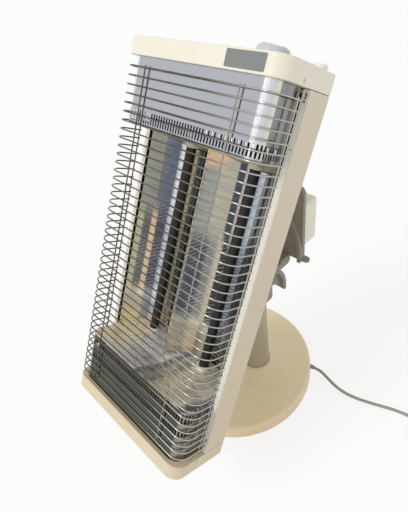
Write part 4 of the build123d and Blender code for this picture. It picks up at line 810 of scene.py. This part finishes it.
def coil_turns():
    """Control points of the coil: half turns that spiral in, climb a layer in one of them and spiral out."""
    points = []
    here = Vector(COIL_START)
    radius = COIL_RADIUS
    side = 1
    for turn in range(2 * COIL_HALF_TURNS + 1):
        rise = COIL_PITCH if turn == COIL_HALF_TURNS else 0.0
        centre = here + Vector((0, side * radius, 0))
        wide = radius / cos(pi / 2 / COIL_STEPS)
        for step in range(COIL_STEPS):
            share = (step + 0.5) / COIL_STEPS
            angle = pi * share - pi / 2
            points.append(centre + Vector((side * wide * cos(angle), side * wide * sin(angle), rise * share)))
        here = here + Vector((0, side * 2 * radius, rise))
        radius += COIL_PITCH / 2 if turn >= COIL_HALF_TURNS else -COIL_PITCH / 2
        side = -side
    return points


cord_points = FLOOR_RUN + [tuple(point) for point in coil_turns()] + PLUG_RUN
cord_curve = bpy.data.curves.new("mains_cord", "CURVE")
cord_curve.dimensions = "3D"
cord_curve.bevel_depth = CORD_RADIUS * MM
cord_curve.bevel_resolution = 4
cord_curve.resolution_u = 5
cord_curve.use_fill_caps = True
run = cord_curve.splines.new("NURBS")
run.points.add(len(cord_points) - 1)
for control, place in zip(run.points, cord_points):
    control.co = (*(Vector(place) * MM), 1.0)
run.order_u = 3
run.use_endpoint_u = True
cord_curve.materials.append(sheath.material)
mains_cord = bpy.data.objects.new("mains_cord", cord_curve)
bpy.context.scene.collection.objects.link(mains_cord)
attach(mains_cord, "base")
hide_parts("power_cord", "cord_coil", "plug_lead")

# Strain relief: a plain sleeve through the base's wall, and four rings outside that taper towards the tip
GLAND_OUTSIDE = 10.0
RING_START = 0.8
RING_PITCH = 2.3
heading = Vector((cos(CORD_HEADING), sin(CORD_HEADING), 0))
rings = [(3.2, -14), (4.9, -14), (5.0, -13.5), (5.0, 0.3)]
for ring in range(4):
    start = RING_START + ring * RING_PITCH
    wide = 4.95 - 0.22 * ring
    rings += [(wide, start), (wide, start + 1.3), (wide - 0.7, start + 1.5), (wide - 0.7, start + 2.1)]
rings += [(3.9, 9.8), (3.7, GLAND_OUTSIDE), (3.15, GLAND_OUTSIDE)]
relief = bmesh.new()
turned(relief, rings, steps=32)
in_gland = placed(Vector(GLAND_TIP) - heading * GLAND_OUTSIDE, UPRIGHT.cross(heading), UPRIGHT, heading)
finished("strain_relief", relief, in_gland, sheath, "base", ["cord_gland"])

# Plug: a moulded body with a narrow neck and finger ribs
PLUG_MIDDLE = Vector((487.0, 292.0, 8.0))
PLUG_SIZE = (38.0, 26.0, 16.0)
NECK_END = 485.0
NECK_WIDTH_SHARE = 0.45
NECK_HEIGHT_SHARE = 0.7
FIRST_RIB = 4.0
RIB_PITCH = 3.6
RIB_REACH = 12.4
plug = bmesh.new()
whole_plug = Matrix.Translation(PLUG_MIDDLE) @ Matrix.Diagonal((*PLUG_SIZE, 1.0))
bmesh.ops.create_cube(plug, size=1.0, matrix=whole_plug)
whole = plug.verts[:] + plug.edges[:] + plug.faces[:]
bmesh.ops.bisect_plane(plug, geom=whole, plane_co=(NECK_END, 0, 0), plane_no=(1, 0, 0))
cord_end = PLUG_MIDDLE.x - PLUG_SIZE[0] / 2
for vert in plug.verts:
    if vert.co.x < cord_end + 1.0:
        vert.co.y = PLUG_MIDDLE.y + (vert.co.y - PLUG_MIDDLE.y) * NECK_WIDTH_SHARE
        vert.co.z = PLUG_MIDDLE.z + (vert.co.z - PLUG_MIDDLE.z) * NECK_HEIGHT_SHARE
bevelled(plug, plug.edges[:], 2.6, 4)
for step in range(3):
    for side in (-1, 1):
        rib_place = PLUG_MIDDLE + Vector((FIRST_RIB + RIB_PITCH * step, side * RIB_REACH, 0))
        rounded_block(plug, (1.6, 1.2, 9.0), Matrix.Translation(rib_place), 0.4)
plug_moulding = finished(
    "plug_moulding", plug, Matrix.Scale(MM, 4), sheath, "base", ["plug_body"])

# Control dial: a flat knob with a fluted skirt, a finger bar that falls towards its tail, and a pointer
DIAL_TOP = 11.5
FLUTES = 32
BAR_LENGTH = 34.0
BAR_FALL = 0.75
dial_profile = [
    (0, 11.2), (12, 11.3), (17.8, DIAL_TOP), (19.0, 11.3), (19.8, 10.6), (20.2, 9.4), (20.6, 1.6),
    (21.0, 1.4), (21.0, 0.3), (20.6, 0.0), (3.0, 0.0), (3.0, -7.0), (0, -7.0),
]
dial = bmesh.new()
dial_centre = Vector((82, 50, HEAD_LENGTH + 0.3))
turned(dial, dial_profile, dial_centre, 72)
for flute in range(FLUTES):
    turn = Matrix.Rotation(2 * pi * flute / FLUTES, 4, "Z")
    flute_place = Matrix.Translation(dial_centre) @ turn @ Matrix.Translation((20.1, 0, 5.4))
    rounded_block(dial, (0.9, 1.5, 7.2), flute_place, 0.4)
knob_verts = set(dial.verts)
rounded_block(dial, (BAR_LENGTH, 9.0, 6.0), Matrix.Translation(dial_centre + Vector((0, 0, 13.0))), 1.6, 4)
bar_foot = dial_centre.z + DIAL_TOP
for vert in set(dial.verts) - knob_verts:
    along_bar = (vert.co.x - dial_centre.x + BAR_LENGTH / 2) / BAR_LENGTH
    if vert.co.z > bar_foot:
        vert.co.z = bar_foot + (vert.co.z - bar_foot) * (1.0 - BAR_FALL * max(along_bar, 0.0))
finished("dial_knob", dial, IN_HEAD, dial_grey, "dial", ["control_dial"])
pointer = bmesh.new()
rounded_block(pointer, (9.0, 1.0, 0.8), Matrix.Translation(dial_centre + Vector((-11.0, 0, 15.3))), 0.15)
finished("dial_pointer", pointer, IN_HEAD, cream, "dial")

# Power button: a domed cap with a shallow finger dish
button_profile = [
    (0, 6.3), (4.0, 6.45), (6.6, 6.95), (7.8, 6.8), (8.6, 6.1), (8.95, 5.0), (9.0, -2.6), (9.0, -2.8),
    (10.3, -2.8), (10.3, -4.1), (0, -4.1),
]
button = bmesh.new()
turned(button, button_profile, Vector((125, 92, HEAD_LENGTH)))
finished("button_cap", button, IN_HEAD, cream, "button", ["power_button"])

# Ceramic rings with rounded lips where the tubes pass the deflectors
TUBE_ACROSS = 66.0
TUBE_DEPTH = 99.5
RING_LEVELS = (126.0, HEAD_LENGTH - 136.5)
ring_profile = [
    (8.3, 0.6), (8.9, 0.0), (11.0, 0.0), (11.8, 0.5), (12.0, 1.4), (12.0, 9.1), (11.8, 10.0), (11.0, 10.5),
    (8.9, 10.5), (8.3, 9.9), (8.3, 0.6),
]
ring_shape = bmesh.new()
for side in (-1, 1):
    for ring_level in RING_LEVELS:
        turned(ring_shape, ring_profile, Vector((side * TUBE_ACROSS, TUBE_DEPTH, ring_level)), 40)
finished("ceramic_collars", ring_shape, IN_HEAD, ceramic, "head", ["ceramic_rings"])

# Cross-head screws in the back of the head and in the rear cover
CASE_SCREWS_ACROSS = 122.0
CASE_SCREWS_DEPTH = 112.0
CASE_SCREW_LEVELS = (60.0, 220.0, HEAD_LENGTH - 220.0, HEAD_LENGTH - 60.0)
CASE_SCREW_LENGTH = 6.0
COVER_SCREWS_ACROSS = 60.0
COVER_SCREWS_HEIGHT = 397.5
COVER_SCREW_LENGTH = 34.5
COVER_BACK = 107.1
to_back = Matrix.Rotation(-pi / 2, 4, "X")
screws = bmesh.new()
for side in (-1, 1):
    for screw_level in CASE_SCREW_LEVELS:
        seat = Matrix.Translation((side * CASE_SCREWS_ACROSS, CASE_SCREWS_DEPTH, screw_level))
        cross_screw(screws, CASE_SCREW_LENGTH, seat @ to_back)
finished("case_fixings", screws, IN_HEAD, zinc, "head", ["case_screws"])
screws = bmesh.new()
for side in (-1, 1):
    beside = POLE.x + side * COVER_SCREWS_ACROSS
    seat = Matrix.Translation((beside, POLE.y + COVER_BACK - SCREW_HEAD_HEIGHT, COVER_SCREWS_HEIGHT))
    cross_screw(screws, COVER_SCREW_LENGTH, seat @ to_back)
finished("cover_fixings", screws, Matrix.Scale(MM, 4), zinc, "column", ["cover_screws"])

# Pale floor, which the camera and the mirrors see nearly white but which still takes the heater's shadow
FLOOR_REACH = 12.0
FLOOR_GLOW = 0.78
floor = Finish("pale_floor", rough=0.9)
floor_grain = floor.noise(3.0, 2.0)
floor.set(Base_Color=floor.mix(floor_grain, paint(247, 246, 244), paint(250, 250, 249)))
seen = floor.node("ShaderNodeLightPath", output="Is Camera Ray")
mirrored = floor.node("ShaderNodeLightPath", output="Is Glossy Ray")
glow_light = floor.node("ShaderNodeEmission", {}, {"Color": (1, 1, 1, 1), "Strength": 1.0})
lit = Signal(floor, floor.shader.outputs[0])
glow_share = (seen + mirrored) * FLOOR_GLOW
shown_floor = floor.node("ShaderNodeMixShader", {}, {0: glow_share, 1: lit, 2: glow_light})
floor.tree.links.new(shown_floor.socket, floor.tree.nodes["Material Output"].inputs["Surface"])
ground = bmesh.new()
bmesh.ops.create_grid(ground, x_segments=1, y_segments=1, size=FLOOR_REACH)
ground_mesh = bpy.data.meshes.new("floor")
ground.to_mesh(ground_mesh)
ground.free()
ground_mesh.materials.append(floor.material)
ground_piece = bpy.data.objects.new("floor", ground_mesh)
bpy.context.scene.collection.objects.link(ground_piece)

# Studio: a white room that metal mirrors, a soft key from the front left and a weak one from the right. The
# room's light on other surfaces is dimmer than it looks to the camera and in mirrors
ROOM_LIGHT = 0.62
world = bpy.data.worlds.new("studio")
bpy.context.scene.world = world
world.use_nodes = True
sky = world.node_tree
background = sky.nodes["Background"]
light_path = sky.nodes.new("ShaderNodeLightPath")
looking = light_path.outputs["Is Camera Ray"]
for ray in ("Is Glossy Ray", "Is Transmission Ray"):
    either = sky.nodes.new("ShaderNodeMath")
    either.operation = "MAXIMUM"
    sky.links.new(looking, either.inputs[0])
    sky.links.new(light_path.outputs[ray], either.inputs[1])
    looking = either.outputs[0]
level = sky.nodes.new("ShaderNodeMapRange")
level.inputs["To Min"].default_value = ROOM_LIGHT
level.inputs["To Max"].default_value = 1.0
sky.links.new(looking, level.inputs["Value"])
sky.links.new(level.outputs[0], background.inputs["Strength"])
background.inputs["Color"].default_value = (1, 1, 1, 1)


def lamp(name, heading, strength, spread):
    """A distant lamp that shines along a heading, softened by its spread in degrees."""
    data = bpy.data.lights.new(name, "SUN")
    data.energy = strength
    data.angle = radians(spread)
    holder = bpy.data.objects.new(name, data)
    holder.rotation_euler = Vector(heading).to_track_quat("-Z", "Y").to_euler()
    bpy.context.scene.collection.objects.link(holder)


lamp("key", (0.35, 1.0, -1.15), 1.25, 24.0)
lamp("side", (-1.0, 0.25, -0.9), 0.12, 40.0)

bpy.context.scene.view_settings.view_transform = "Standard"
